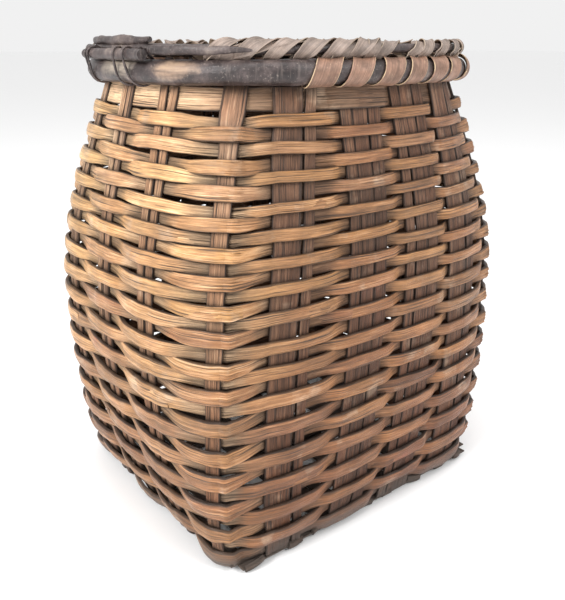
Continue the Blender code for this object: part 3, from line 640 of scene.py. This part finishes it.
def ring_path(height, width, outside, thick, seed, wobble=0.0):
    """Samples round the wall: point, out, width, thickness, worn and place.

    The strip passes outside the groups that outside names and inside the others.
    """
    r = np.random.default_rng(seed)
    phases = TAU * r.random(4)
    marks = []
    for g in range(COUNT):
        way = 1 if outside(g) else -1
        spacing = np.linalg.norm(folded(g + 0.5, height) - folded(g - 0.5, height))
        half = min(0.42, (WIDTHS[g] / 2 + PLATEAU) / spacing)
        offset = (DEPTHS[g] + CLEARANCE + thick / 2) * way
        front = 3 <= g <= 6 or 12 <= g <= 15
        share = INNER_WIDE if way < 0 else FRONT_WIDE if front else SIDE_WIDE
        size = width * (share + 0.06 * r.normal())
        for side in (-1, 0, 1):
            rise = CROWN if way > 0 and side == 0 else 0.0
            marks.append((g + side * half, offset + rise, size, 1.0 if way > 0 else UNDER))
    marks = np.array(marks)
    around = np.array([COUNT, 0, 0, 0])
    marks = np.vstack([marks - around, marks, marks + around])
    places = [np.arange(0, COUNT, PATH_STEP)]
    for group, way, *_ in FOLDS:
        places.append(fold_place(group, way, height) + np.arange(-0.12, 0.121, CREASE_STEP))
    places = np.unique(np.round(np.concatenate(places), 4))
    k = np.searchsorted(marks[:, 0], places, side="right") - 1
    share = (places - marks[k, 0]) / (marks[k + 1, 0] - marks[k, 0])
    share = share * share * (3 - 2 * share)
    values = marks[k] + (marks[k + 1] - marks[k]) * share[:, None]
    samples = []
    for u, (_, offset, size, worn) in zip(places, values):
        h = height + wobble * sum(math.sin(TAU * u * (n + 1) / COUNT + phase) / (1 + 0.5 * n)
                                  for n, phase in enumerate(phases))
        crossing = 1 - min(1.0, abs(offset) / 0.003)
        crease = sum(max(0.0, 1 - abs(fold_gap(u, group, way, h)) / CREASE_REACH)
                     for group, way, *_ in FOLDS)
        point, _, normal = wall(u, h)
        bow = offset + CREASE_RISE * crease * (worn > 0.5)
        size = min(size, size + (CROSSING_WIDE * width - size) * crossing)
        samples.append([*(point + normal * bow), *normal, size, thick, worn, u])
    return np.array(samples)


def spread(samples, ends, overlap=0.9):
    """Cuts a ring's samples into strips between places round the wall, each lapping over the next."""
    u = samples[:, -1] % COUNT
    strips = []
    for number, start in enumerate(ends):
        stop = ends[(number + 1) % len(ends)]
        length = (stop - start) % COUNT or COUNT
        away = (u - start) % COUNT
        keep = np.nonzero(away <= length)[0]
        keep = keep[np.argsort(away[keep])]
        after = (u - stop) % COUNT
        more = np.nonzero(after <= overlap)[0]
        more = more[np.argsort(after[more])]
        strips.append(samples[np.concatenate([keep, more])])
    return strips


# Where the strips of some rows start, in stake groups, counted from the lowest row.
SPLICES = {14: (4.35, 12.8), 19: (5.5, 14.1), 9: (3.4, 11.2), 25: (2.72, 10.4), 28: (5.4, 13.3),
           0: (2.62, 12.4), 17: (2.75, 9.6), 22: (16.6, 7.7), 5: (2.66, 10.5), 11: (0.55, 8.4)}


LAP_LENGTH, ROW_LAP_DEPTH, BAND_LAP_DEPTH, TAPER_LENGTH = 0.03, 0.0010, 0.0008, 0.022
ROW_WOBBLE, ROW_WAVE, CORNER_SHARE = 0.0009, 0.0005, 0.13
BAND_LIFT, BAND_WIDTH, BAND_THICK, BAND_WORN = 0.0014, 0.0205, 0.0018, 0.85
BAND_OUTSIDE, BAND_ENDS = (4, 13), (3.45, 12.5)


def lapped(part, depth):
    """A strip's points, with its ends under and over its neighbours, its outs, lengths and end shares."""
    s = lengths(part[:, :3])
    normal = part[:, 3:6] / np.linalg.norm(part[:, 3:6], axis=1)[:, None]
    start, finish = np.clip(s / LAP_LENGTH, 0, 1), np.clip((s[-1] - s) / LAP_LENGTH, 0, 1)
    shift = (depth * (1 - finish) - depth * (1 - start))[:, None] * normal
    return part[:, :3] + shift, normal, s, np.minimum(start, finish)


def build_rows():
    chance = np.random.default_rng(11)
    for row, (height, width) in enumerate(row_heights()):
        outside = lambda g, row=row: (row + g) % 2 == 0
        thin = 0.98 + 0.05 * chance.random()
        thick = 0.0035 + 0.0012 * chance.random()
        samples = ring_path(height, width * thin, outside, thick, 100 + row, wobble=ROW_WOBBLE)
        guessed = sorted((9.3 + 8.4 * chance.random(), 0.4 + 17 * chance.random()))
        bundle = Bundle()
        for number, part in enumerate(spread(samples, SPLICES.get(row, guessed))):
            seed = 1000 + row * 7 + number
            points, normal, s, _ = lapped(part, ROW_LAP_DEPTH)
            points[:, 2] += ROW_WAVE * wave(s, seed, 0.16)
            near_end = np.minimum(1, np.minimum(s, s[-1] - s) / TAPER_LENGTH)
            wide = part[:, 6] * (1 + 0.04 * wave(s, seed + 1, 0.07)) * (0.86 + 0.14 * near_end)
            deep = part[:, 7] * (0.5 + 0.5 * near_end) * (1 + 0.10 * wave(s, seed + 2, 0.05))
            corner = sum(np.exp(-((part[:, -1] % COUNT - fold_place(group, way, height)) / CORNER_SHARE) ** 2)
                         for group, way, *_ in FOLDS)
            bundle.strip(points, normal, wide, deep, CROWNED, seed,
                         worn=np.clip(part[:, 8] + 0.12 * wave(s, seed + 5, 0.03) - 0.25 * corner, 0, 1),
                         shade=float(np.clip(chance.normal(0.5, 0.22), 0, 1)),
                         ridges=0.00006 + 0.00036 * corner, tilt=0.13 * wave(s, seed + 4, 0.10))
        bundle.piece(f"woven_row_{row + 1:02d}", weaver_wood, "basket", "ash_splint",
                     f"weaver_row_{row + 1:02d}")


def build_band():
    samples = ring_path(BAND_HEIGHT + BAND_LIFT, BAND_WIDTH, lambda g: g in BAND_OUTSIDE, BAND_THICK, 77)
    bundle = Bundle()
    for number, part in enumerate(spread(samples, BAND_ENDS, overlap=1.2)):
        points, normal, s, inward = lapped(part, BAND_LAP_DEPTH)
        bundle.strip(points, normal, BAND_WIDTH * (1 + 0.02 * wave(s, number, 0.05)),
                     part[:, 7] * (0.7 + 0.3 * inward), FLAT, 50 + number, worn=BAND_WORN, shade=0.62,
                     ridges=0.00008)
    bundle.piece("top_splint_band", band_wood, "basket", "ash_splint", "top_band")


# The uprights.

UPRIGHT_STEP, WALL_ROWS = 0.0042, 34
FOOT_INSET, BEND_INSET, BEND_LEVEL = 0.0085, 0.0022, 0.0026
FLAT_LIFT, LOWEST_MIDDLE, FOOT_THICK, FOOT_TOP = 0.0001, 0.0013, 0.0018, 0.012
CROSSING_ROOM = 0.0025


def wall_line(g, shift, facing, top):
    """Control rows up one wall from its foot to the top of an upright."""
    rows = []
    for h in np.linspace(WALL_FOOT + 0.004, top, WALL_ROWS):
        spacing = np.linalg.norm(folded(g + 0.5, h) - folded(g - 0.5, h))
        point, _, normal = wall(g + shift * facing / spacing, h)
        rows.append([*point, *normal])
    return rows


def build_upright(name, near, far, splints, top, crossings, profile=None):
    """Splints that share a CAD upright: shift, width, thickness, section, change of the top and seed."""
    bundle = Bundle()
    for shift, width, thick, section, trim, seed in splints:
        near_wall = wall_line(near, shift, 1, top + trim)
        far_wall = wall_line(far, shift, -1, top + trim * 0.5)
        start, finish = np.array(near_wall[0][:3]), np.array(far_wall[0][:3])
        start[2] = finish[2] = 0
        along, span = unit(finish - start), np.linalg.norm(finish - start)
        places = crossings(start)
        line = [(FOOT_INSET, places[0][2])]
        for place, half, level in places:
            line += [(place - half, level), (place + half, level)]
        line.append((span - FOOT_INSET, places[-1][2]))
        flat = []
        for place, level in line:
            at = start + along * place
            flat.append([at[0], at[1], level + FLAT_LIFT, 0, 0, -1])
        bends = []
        for wall_row, sign, level in ((near_wall[0], 1, line[0][1]), (far_wall[0], -1, line[-1][1])):
            at = np.array(wall_row[:3]) + along * BEND_INSET * sign
            out = unit(np.array((0, 0, -1.0)) - along * sign)
            bends.append([at[0], at[1], level + BEND_LEVEL, *out])
        rows = near_wall[::-1] + [bends[0]] + flat + [bends[1]] + far_wall
        points, outs, _ = sampled(rows, UPRIGHT_STEP)
        s = np.linspace(0, len(points) * UPRIGHT_STEP, len(points))
        depth = np.where(points[:, 2] < FOOT_TOP, FOOT_THICK, thick)
        depth = np.convolve(np.pad(depth, 4, mode="edge"), np.ones(9) / 9, "valid")
        sway = 0.0006 * wave(s, seed + 1, 0.09)
        across = np.cross(outs, np.gradient(points, axis=0))
        across /= np.linalg.norm(across, axis=1)[:, None]
        points = points + across * sway[:, None] * (points[:, 2] > 0.02)[:, None]
        points[:, 2] = np.maximum(points[:, 2], LOWEST_MIDDLE)
        wide = width * (1 + 0.05 * wave(s, seed, 0.08))
        if profile:
            ahead = np.arange(len(s)) < len(s) / 2
            wide = wide * np.where(ahead, np.interp(points[:, 2], *profile), 1.0)
        bundle.strip(points, outs, wide, depth, section, seed,
                     worn=np.clip(0.72 + 0.15 * wave(s, seed + 2, 0.05), 0, 1),
                     shade=float(np.random.default_rng(seed).uniform(0.25, 0.75)),
                     ridges=0.00012 if section is FLAT else 0.00005)
    return bundle.piece(name + "_splints", stake_wood, "basket", "ash_upright", name)


# Middle, run and level of the splints inside the foot's sides.
FOOT_EDGES = ((0, -0.1330, (1, 0), 0.0052), (0, 0.1330, (1, 0), 0.0052),
              (-0.1490, 0, (0, 1), 0.0072), (0.1490, 0, (0, 1), 0.0072))
EDGE_REACH_X, EDGE_REACH_Y, EDGE_WIDTH, EDGE_THICK = 0.150, 0.134, 0.0170, 0.0016
# Place, length, level and tilt of the worn bend ends under the front.
BEND_ENDS = ((-0.138, 0.019, 0.0054, 0.25), (-0.092, 0.017, 0.0052, -0.2), (-0.066, 0.012, 0.0070, 0.2),
             (-0.003, 0.018, 0.0052, 0.15), (0.026, 0.012, 0.0066, -0.3), (0.066, 0.017, 0.0054, -0.1),
             (0.108, 0.016, 0.0056, 0.2), (0.136, 0.012, 0.0064, -0.15))
BEND_END_Y, BEND_END_WIDTH, BEND_END_THICK = -0.1405, 0.0078, 0.0042


def build_foot_edges():
    """Splints inside the foot's four sides, and worn bend ends under its front."""
    edges = Bundle()
    for seed, (x, y, run, z) in enumerate(FOOT_EDGES, 820):
        reach = EDGE_REACH_X if run[0] else EDGE_REACH_Y
        rows = [[x + run[0] * t, y + run[1] * t, z, 0, 0, 1] for t in np.linspace(-reach, reach, 9)]
        points, outs, s = sampled(rows, 0.006)
        edges.strip(points, outs, EDGE_WIDTH * (1 + 0.03 * wave(s, seed, 0.08)), EDGE_THICK, FLAT, seed,
                    worn=0.4, ridges=0.00006)
    edges.piece("foot_edge_splints", stake_wood, "basket", "ash_upright")
    blocks = Bundle()
    for number, (x, length, z, tilt) in enumerate(BEND_ENDS):
        ends = np.linspace(-0.5, 0.5, 7)
        rise = 0.0018 * (-1) ** number
        points = [[x + length * k, BEND_END_Y - 0.0012 * math.cos(3 * k + number), z + rise * k]
                  for k in ends]
        taper = 1 - 0.35 * np.abs(ends) ** 2
        blocks.strip(points, [[0, -1, -0.3]] * len(points), BEND_END_WIDTH * taper, BEND_END_THICK * taper,
                     CROWNED, 850 + number, worn=0.4, shade=0.3, ridges=0.0002, tilt=tilt)
    blocks.piece("foot_bend_ends", stake_wood, "basket", "ash_upright")


def foot_level(a, b):
    return 0.0008 + ((a + b) % 2) * (0.0016 + 0.00065)


def build_uprights():
    front_x = [s * FOOT[0] for s in FRONT_SHARES]
    side_y = [s * FOOT[1] for s in SIDE_SHARES]
    side_widths = [CORNER, SIDE, SIDE, SIDE, CORNER]
    for step in range(4):
        near, far = 3 + step, 15 - step

        def crossings(start, step=step):
            return [(y - start[1], w / 2 + CROSSING_ROOM, foot_level(step, other))
                    for other, (y, w) in enumerate(zip(side_y, side_widths))]

        wide, narrow = (WIDE - PAIR) / 2, (PAIR - NARROW) / 2
        seed = 300 + 10 * step
        if step == 0:
            broad = [(-0.0093, 0.0250, 0.0019, FLAT, 0.0, seed)]
        elif step == 3:
            broad = [(wide, WIDE + 0.0008, 0.0019, FLAT, 0.0, seed)]
        else:
            broad = [(wide - 0.0080, 0.0112, 0.0021, FLAT, -0.001, seed),
                     (wide + 0.0063, 0.0160, 0.0018, FLAT, 0.0, seed + 1)]
        build_upright(f"front_stake_{step + 1}_wide", near, far, broad, STAKE_TOP - 0.0005, crossings)
        slim = [(narrow - 0.0004, NARROW + 0.0010, 0.0020, FLAT, -0.002 * (step % 2), seed + 2)]
        if step == 0:
            slim = [(0.0102, 0.0098, 0.0020, FLAT, 0.0, seed + 2)]
        build_upright(f"front_stake_{step + 1}_narrow", near, far, slim, STAKE_TOP - 0.001, crossings)
    for step, width in enumerate(side_widths):
        near, far = (2 - step) % COUNT, 7 + step

        def crossings(start, step=step):
            return [(x - start[0], PAIR / 2 + CROSSING_ROOM, foot_level(other, step + 1))
                    for other, x in enumerate(front_x)]

        top = STAKE_TOP if step % 2 else RISEN_TOP
        seed = 400 + 10 * step
        if step == 0:
            splints = [(0.0015, width + 0.0015, 0.0022, FLAT, 0.0, seed)]
        elif step == 4:
            splints = [(0.0, width, 0.0022, FLAT, 0.0, seed)]
        else:
            splints = [(-0.0056, 0.0096, 0.0031, HALF_ROD, 0.0, seed),
                       (0.0057, 0.0090, 0.0030, HALF_ROD, -0.0012, seed + 1)]
        build_upright(f"side_stake_{step + 1}", near, far, splints, top, crossings,
                      profile=None if step else ((0.05, 0.33, 0.365, 0.395), (0.80, 1.0, 1.0, 1.45)))


# The rim.

def hull(first, first_radius, second, second_radius, count):
    """Points and normals round two circles in the plane across the rim, as (offset, height)."""
    circles = ((np.array(first), first_radius), (np.array(second), second_radius))
    line = []
    for k in range(360):
        turn = math.radians(120 + k)
        n = np.array((math.cos(turn), math.sin(turn)))
        reach = [(np.dot(c, n) + r, c, r) for c, r in circles]
        _, c, r = max(reach, key=lambda item: item[0])
        line.append(np.concatenate([c + n * r, n]))
    line = np.array(line + line[:1])
    place = np.concatenate([[0], np.cumsum(np.linalg.norm(np.diff(line[:, :2], axis=0), axis=1))])
    at = np.linspace(0, place[-1], count + 1)
    return np.stack([np.interp(at, place, line[:, k]) for k in range(4)], 1)


def wound(outline, angles, lean=0.0):
    """Points and out directions of a strip that winds round the outline, passing each angle once a turn."""
    points, outs = [], []
    count = len(outline) - 1
    for loop, angle in enumerate(angles):
        ahead = angles[loop + 1] - angle if loop < len(angles) - 1 else 0.0
        for k in range(count):
            share = k / count
            travel = 0.0 if share < 0.08 else (share - 0.08) / 0.92
            eased = angle + ahead * (0.35 * travel + 0.65 * travel**3) + lean * math.sin(math.pi * share)
            offset, height, nx, nz = outline[k]
            point, _, out = rim(eased, offset, height)
            points.append(point)
            outs.append(out * nx + np.array((0, 0, nz)))
    return np.array(points), np.array(outs)


def ring(bundle, offset, height, radius, seed, sides, lumps=0.0, knots=(), step=1.5):
    angles = np.arange(0, 360, step)
    rows = [rim(a, offset, height) for a in angles]
    points = np.array([r[0] for r in rows])
    s = angles / 360.0
    points[:, 2] += lumps * 0.35 * np.sin(s * TAU * 3 + seed)
    ripple = np.sin(s * TAU * 5 + seed) + np.sin(s * TAU * 11 + 2 * seed)
    size = 2 * radius * (1 + lumps / radius * 0.12 * ripple)
    for place, grow, reach in knots:
        gap = (angles - place + 180) % 360 - 180
        size = size * (1 + grow * np.exp(-((gap / reach) ** 2)))
    bundle.strip(points, np.array([r[2] for r in rows]), size, size, round_section(sides), seed, closed=True,
                 ridges=0.00010)


def build_rim():
    rod = Bundle()
    ring(rod, ROD_OFFSET, RIM_HEIGHT, ROD_RADIUS, 5, 28, lumps=0.0016,
         knots=((55.0, 0.07, 1.6), (212.0, 0.06, 2.0), (-31.0, 0.06, 2.5), (330.0, 0.05, 2.0)))
    rod.piece("bark_rim_rod", rod_bark, "basket", "bark_covered_rod", "rim_rod", sharp=60)
    inner = Bundle()
    ring(inner, INNER_OFFSET, RIM_HEIGHT + 0.001, INNER_RADIUS, 9, 16, lumps=0.0007)
    inner.piece("inner_bark_rod", dark_bark, "basket", "bark_covered_rod", "inner_rim_rod", sharp=60)

    outline = hull((INNER_OFFSET, RIM_HEIGHT + 0.001), INNER_RADIUS + 0.0017, (ROD_OFFSET, RIM_HEIGHT),
                   ROD_RADIUS + 0.0009, 44)
    chance = np.random.default_rng(31)
    angles = []
    for first, count in ((62.0, 7), (150.0, 3), (188.5, 3), (230.0, 8)):
        angles += [first + 11.0 * k + chance.uniform(-1.2, 1.2) for k in range(count)]
    points, outs = wound(outline, angles, lean=-3.0)
    s = np.arange(len(points)) * 0.0017
    lashing = Bundle()
    lashing.strip(points, outs, 0.0195 * (1 + 0.10 * wave(s, 8, 0.11)), 0.0010, FLAT, 12, worn=0.8,
                  cup=0.0003, ridges=0.00004, tilt=0.06 * wave(s, 21, 0.05))
    lashing.piece("bark_rim_lashing", lashing_bark, "basket", "bark_strip", "rim_lashing")


# The lid.

def lid_half(value, along, across, offset):
    power = 1 / ROUNDNESS[2]
    return (across + offset) * max(0.0, 1 - (abs(value) / (along + offset)) ** power) ** (1 / power)


RIB_WIDTH, RIB_THICK = 0.026, 0.0015
RIB_MIDDLES = [share * (NECK[1] + HOOP_OFFSET) for share in (-0.67, -0.335, 0.0, 0.335, 0.67)]
PITCH, LID_SPLINT, LID_SPLINT_THICK = 0.0130, 0.0095, 0.0012


def half_length(y, offset=HOOP_OFFSET):
    return lid_half(y, NECK[1], NECK[0], offset)


def half_width(x, offset=HOOP_OFFSET):
    return lid_half(x, NECK[0], NECK[1], offset)


RIBS = [(y, half_length(abs(y) + RIB_WIDTH / 2)) for y in RIB_MIDDLES]


def row_end(x):
    """Where a row of the lid's splint turns back, inside the hoop or before a rib that is in its way."""
    room = PITCH / 2 + LID_SPLINT / 2
    reach = half_width(abs(x) + LID_SPLINT / 2, HOOP_OFFSET - 0.0040 - 0.0017 - 0.0022) - room
    for y, length in sorted(RIBS, reverse=True):
        if abs(x) < length + LID_SPLINT / 2 + 0.0025 and 0 < y and reach < y + RIB_WIDTH / 2 + 0.005:
            reach = min(reach, y - RIB_WIDTH / 2 - 0.005 - room)
    return reach


def lid_rows():
    """The one splint that goes to and fro over and under the lid's ribs."""
    count = int((NECK[0] + HOOP_OFFSET) / PITCH)
    rows = [k * PITCH for k in range(-count, count + 1)]
    rows = [x for x in rows if row_end(x) > 0.045]
    lift = RIB_THICK / 2 + 0.00065 + LID_SPLINT_THICK / 2
    path = []
    for step, x in enumerate(rows):
        way = 1 if step % 2 else -1
        before, after = rows[max(step - 1, 0)], rows[min(step + 1, len(rows) - 1)]
        start, finish = min(row_end(x), row_end(before)), min(row_end(x), row_end(after))
        line = [(-start * way, 0.0)]
        for rib, (y, length) in sorted(enumerate(RIBS), key=lambda item: item[1][0] * way):
            half = RIB_WIDTH / 2 + 0.0025
            if abs(x) < length and -start < y * way - half and y * way + half < finish:
                sign = 1 if (rib + step) % 2 else -1
                line += [(y - half * way, lift * sign), (y, (lift + 0.0003) * sign),
                         (y + half * way, lift * sign)]
        line.append((finish * way, 0.0))
        path += [[x, y, RIB_HEIGHT + rise, 0, 0, 1] for y, rise in line]
        if step < len(rows) - 1:
            half = PITCH / 2
            for turn in (45, 90, 135):
                t = math.radians(turn)
                bulge = (finish + half * math.sin(t)) * way
                path.append([x + half - half * math.cos(t), bulge, RIB_HEIGHT, 0, 0, 1])
    return path


def lid_lashing_angles():
    gaps = [(a[0] + b[0]) / 2 for a, b in zip(RIBS, RIBS[1:])]
    ends = [(half_length(y), y) for y in gaps]
    free = [(-x, y) for x, y in ends if abs(y) > 0.055]
    lengths = [share * (NECK[0] + HOOP_OFFSET) for share in (-0.45, -0.23, 0.0, 0.23, 0.45)]
    sides = [(x, half_width(x) * way) for x in lengths for way in (-1, 1)]
    return sorted((math.degrees(math.atan2(y, x)) - 180) % 360 for x, y in ends + free + sides)


def rod_along(bundle, rows, sizes, seed, step=0.003):
    """A stick through points with their out directions, its thickness following sizes and its own lumps."""
    points, outs, s = sampled(rows, step)
    size = np.interp(np.linspace(0, 1, len(s)), np.linspace(0, 1, len(sizes)), sizes) * 2
    size = size * (1 + 0.05 * wave(s, seed, 0.025) + 0.04 * wave(s, seed + 1, 0.009))
    bundle.strip(points, outs, size, size, round_section(16), seed, ridges=0.00014)


def along_rim(first, last, offset, height, count=9, sway=0.0, seed=0):
    rows = []
    for k, angle in enumerate(np.linspace(first, last, count)):
        swing = sway * math.sin(k * 2.1 + seed)
        point, _, out = rim(angle, offset + swing, height + 0.6 * swing)
        rows.append([*point, *out])
    return rows


# First and last angle, step and lean of the extra wraps on the lid's edge.
EXTRA_WRAPS = ((36, 84, 7.5, -3.0), (96, 146, 9.5, 3.0), (262, 318, 11.0, -2.5))


def build_lid():
    hoop = Bundle()
    ring(hoop, HOOP_OFFSET, HOOP_HEIGHT, HOOP_RADIUS - 0.0001, 15, 14, lumps=0.0006,
         knots=((12.0, 0.16, 3.0), (20.0, 0.10, 2.0), (48.0, 0.10, 2.0)))
    hoop.piece("lid_bark_hoop", dark_bark, "lid", "bark_covered_rod", "lid_hoop", sharp=60)
    for number, (y, length) in enumerate(RIBS):
        rib = Bundle()
        rows = [[x, y + 0.0006 * math.sin(x * 31 + number), RIB_HEIGHT, 0, 0, 1]
                for x in np.linspace(-length, length, 14)]
        points, outs, s = sampled(rows, 0.005)
        rib.strip(points, outs, RIB_WIDTH * (0.97 + 0.02 * wave(s, 60 + number, 0.09)), RIB_THICK, FLAT,
                  600 + number, worn=0.8, ridges=0.00006)
        rib.piece(f"lid_rib_splint_{number + 1}", lid_wood, "lid", "ash_splint", f"lid_rib_{number + 1}")
    weave = Bundle()
    points, outs, s = sampled(lid_rows(), 0.0035)
    weave.strip(points, outs, (LID_SPLINT + 0.0015) * (1 + 0.05 * wave(s, 71, 0.08)), 0.0015, FLAT, 640,
                worn=0.85, ridges=0.00007, shade=0.6)
    weave.piece("lid_woven_splint", lid_wood, "lid", "ash_splint", "lid_weaver")

    outline = hull((HOOP_OFFSET, HOOP_HEIGHT), HOOP_RADIUS + 0.0011, (HOOP_OFFSET, RIB_HEIGHT), 0.0024, 30)
    angles = lid_lashing_angles()
    lashing = Bundle()
    points, outs = wound(outline, angles, lean=2.0)
    s = np.arange(len(points)) * 0.0012
    lashing.strip(points, outs, 0.0105 * (1 + 0.08 * wave(s, 81, 0.06)), 0.0010, FLAT, 82, worn=0.8,
                  cup=0.0002, ridges=0.00004)
    wider = hull((HOOP_OFFSET, HOOP_HEIGHT + 0.0003), HOOP_RADIUS + 0.0023, (HOOP_OFFSET, RIB_HEIGHT),
                 0.0026, 30)
    for first, last, step, lean in EXTRA_WRAPS:
        points, outs = wound(wider, list(np.arange(first, last, step)), lean=lean)
        s = np.arange(len(points)) * 0.0013
        lashing.strip(points, outs, 0.0125 * (1 + 0.12 * wave(s, first, 0.05)), 0.0009, FLAT, first + 3,
                      worn=0.7, cup=0.0003, ridges=0.00005, tilt=0.08 * wave(s, first + 1, 0.04))
    lashing.piece("lid_bark_lashing", lid_bark, "lid", "bark_strip", "lid_lashing")

    stick = Bundle()
    rows = [[HINGE.x, y, HINGE.z, -1, 0, 0] for y in np.linspace(-0.055, 0.055, 8)]
    rod_along(stick, rows, (0.0046, 0.0050, 0.0049, 0.0050, 0.0045), 91)
    stick.piece("bark_hinge_stick", dark_bark, "lid", "bark_covered_rod", "hinge_stick", sharp=60)
    sticks = Bundle()
    rod_along(sticks, along_rim(-27, 16, HOOP_OFFSET + 0.0010, HOOP_HEIGHT + 0.0068, 10, 0.0010, 1),
              (0.0030, 0.0042, 0.0036, 0.0044, 0.0040, 0.0024), 93, step=0.0022)
    rod_along(sticks, along_rim(17.5, 45, HOOP_OFFSET + 0.0064, HOOP_HEIGHT - 0.0010, 8, 0.0005, 2),
              (0.0036, 0.0041, 0.0042, 0.0038, 0.0030, 0.0012), 95, step=0.0022)
    rod_along(sticks, along_rim(-33, -12, HOOP_OFFSET + 0.0072, HOOP_HEIGHT - 0.0006, 7, 0.0006, 3),
              (0.0034, 0.0040, 0.0034), 97, step=0.0022)
    sticks.piece("lid_edge_sticks", dark_bark, "lid", "bark_covered_rod", sharp=60)


VINE_RADIUS, VINE_ROOM, TIE_TURNS, TIE_STEPS, TIE_POINTS = 0.0010, 0.0014, 2.0, 22, 60
HINGE_RADIUS = 0.0050
# Place along the hinge and drift of each tie.
TIES = ((-0.046, 0.0175), (0.046, -0.0045))


def tie_rows(y, drift):
    """Rows of a vine that goes round rim rod and hinge stick in the plane across them, drifting along."""
    rows = []
    for k in range(int(TIE_TURNS * TIE_STEPS) + 1):
        share = k / TIE_STEPS
        place = y + drift * share
        angle = -math.degrees(math.asin(place / (NECK[0] + ROD_OFFSET)))
        rod = -rim(angle, ROD_OFFSET, RIM_HEIGHT)[0][0]
        outline = hull((-HINGE.x, HINGE.z), HINGE_RADIUS + VINE_ROOM, (rod, RIM_HEIGHT),
                       ROD_RADIUS * 1.03 + VINE_ROOM, TIE_POINTS)
        at = (share % 1.0) * TIE_POINTS
        low = int(at) % TIE_POINTS
        x, z, nx, nz = outline[low] + (outline[low + 1] - outline[low]) * (at - int(at))
        rows.append([-x, place, z, -nx, 0, nz])
    return rows


def build_ties():
    for number, (y, drift) in enumerate(TIES):
        rows = tie_rows(y, drift)
        if number == 0:
            rows.insert(0, [rows[0][0] - 0.0030, y - 0.0030, rows[0][2] - 0.001, *rows[0][3:]])
        points, outs, s = sampled(rows, 0.0011)
        seed = 700 + number
        size = 2 * VINE_RADIUS * (1 + 0.14 * wave(s, seed, 0.012))
        tie = Bundle()
        tie.strip(points, outs, size, size, round_section(10), seed, ridges=0.00004)
        tie.piece(f"vine_loop_{number + 1}", vine_bark, "basket", "vine", f"hinge_tie_{number + 1}", sharp=60)


build_rows()
build_band()
build_uprights()
build_foot_edges()
build_rim()
build_lid()
build_ties()


# Floor, light and camera.

FLOOR, PAPER, PAPER_ROUGH, SKY_STRENGTH = 40.0, 0.97, 0.9, 0.88
# Name, place, power and size of each lamp, and the point they shine at.
LAMPS = (("key", (-2.1, -0.3, 1.5), 52, 0.9), ("fill", (0.35, -1.9, 1.7), 22, 0.7),
         ("top", (-0.2, -0.4, 2.4), 14, 1.0))
LIT_POINT = Vector((0, 0, 0.22))
LENS, SENSOR, SHIFT_Y, CLIP_START = 43.2, 36.0, -0.172, 0.02
CAMERA_PLACE, CAMERA_HEADING, CAMERA_PITCH = (-0.457, -0.585, 0.448), (0.619, 0.785), 12.0


def build_studio():
    mesh = bpy.data.meshes.new("floor")
    corners = [(-FLOOR, -FLOOR, 0), (FLOOR, -FLOOR, 0), (FLOOR, FLOOR, 0), (-FLOOR, FLOOR, 0)]
    mesh.from_pydata(corners, [], [(0, 1, 2, 3)])
    floor = bpy.data.objects.new("floor", mesh)
    bpy.context.collection.objects.link(floor)
    paper = Nodes("pale_paper")
    paper.shader.inputs["Base Color"].default_value = (PAPER, PAPER, PAPER, 1)
    paper.shader.inputs["Roughness"].default_value = PAPER_ROUGH
    mesh.materials.append(paper.material)
    world = bpy.data.worlds.new("studio")
    world.use_nodes = True
    back = world.node_tree.nodes["Background"]
    back.inputs[0].default_value = (1.0, 1.0, 1.0, 1)
    back.inputs[1].default_value = SKY_STRENGTH
    bpy.context.scene.world = world
    for name, place, power, size in LAMPS:
        lamp = bpy.data.lights.new(name, "AREA")
        lamp.energy, lamp.size = power, size
        light = bpy.data.objects.new(name, lamp)
        light.location = place
        light.rotation_euler = (LIT_POINT - light.location).to_track_quat("-Z", "Y").to_euler()
        bpy.context.collection.objects.link(light)


def build_camera():
    camera = bpy.data.objects.new("camera", bpy.data.cameras.new("camera"))
    camera.data.lens, camera.data.sensor_width = LENS, SENSOR
    camera.data.shift_y = SHIFT_Y
    camera.location = CAMERA_PLACE
    pitch = math.radians(CAMERA_PITCH)
    level = unit(np.array(CAMERA_HEADING))
    gaze = Vector((level[0] * math.cos(pitch), level[1] * math.cos(pitch), -math.sin(pitch)))
    camera.rotation_euler = gaze.to_track_quat("-Z", "Y").to_euler()
    camera.data.clip_start = CLIP_START
    bpy.context.collection.objects.link(camera)
    bpy.context.scene.camera = camera


build_studio()
build_camera()
bpy.context.scene.view_settings.view_transform = "Standard"
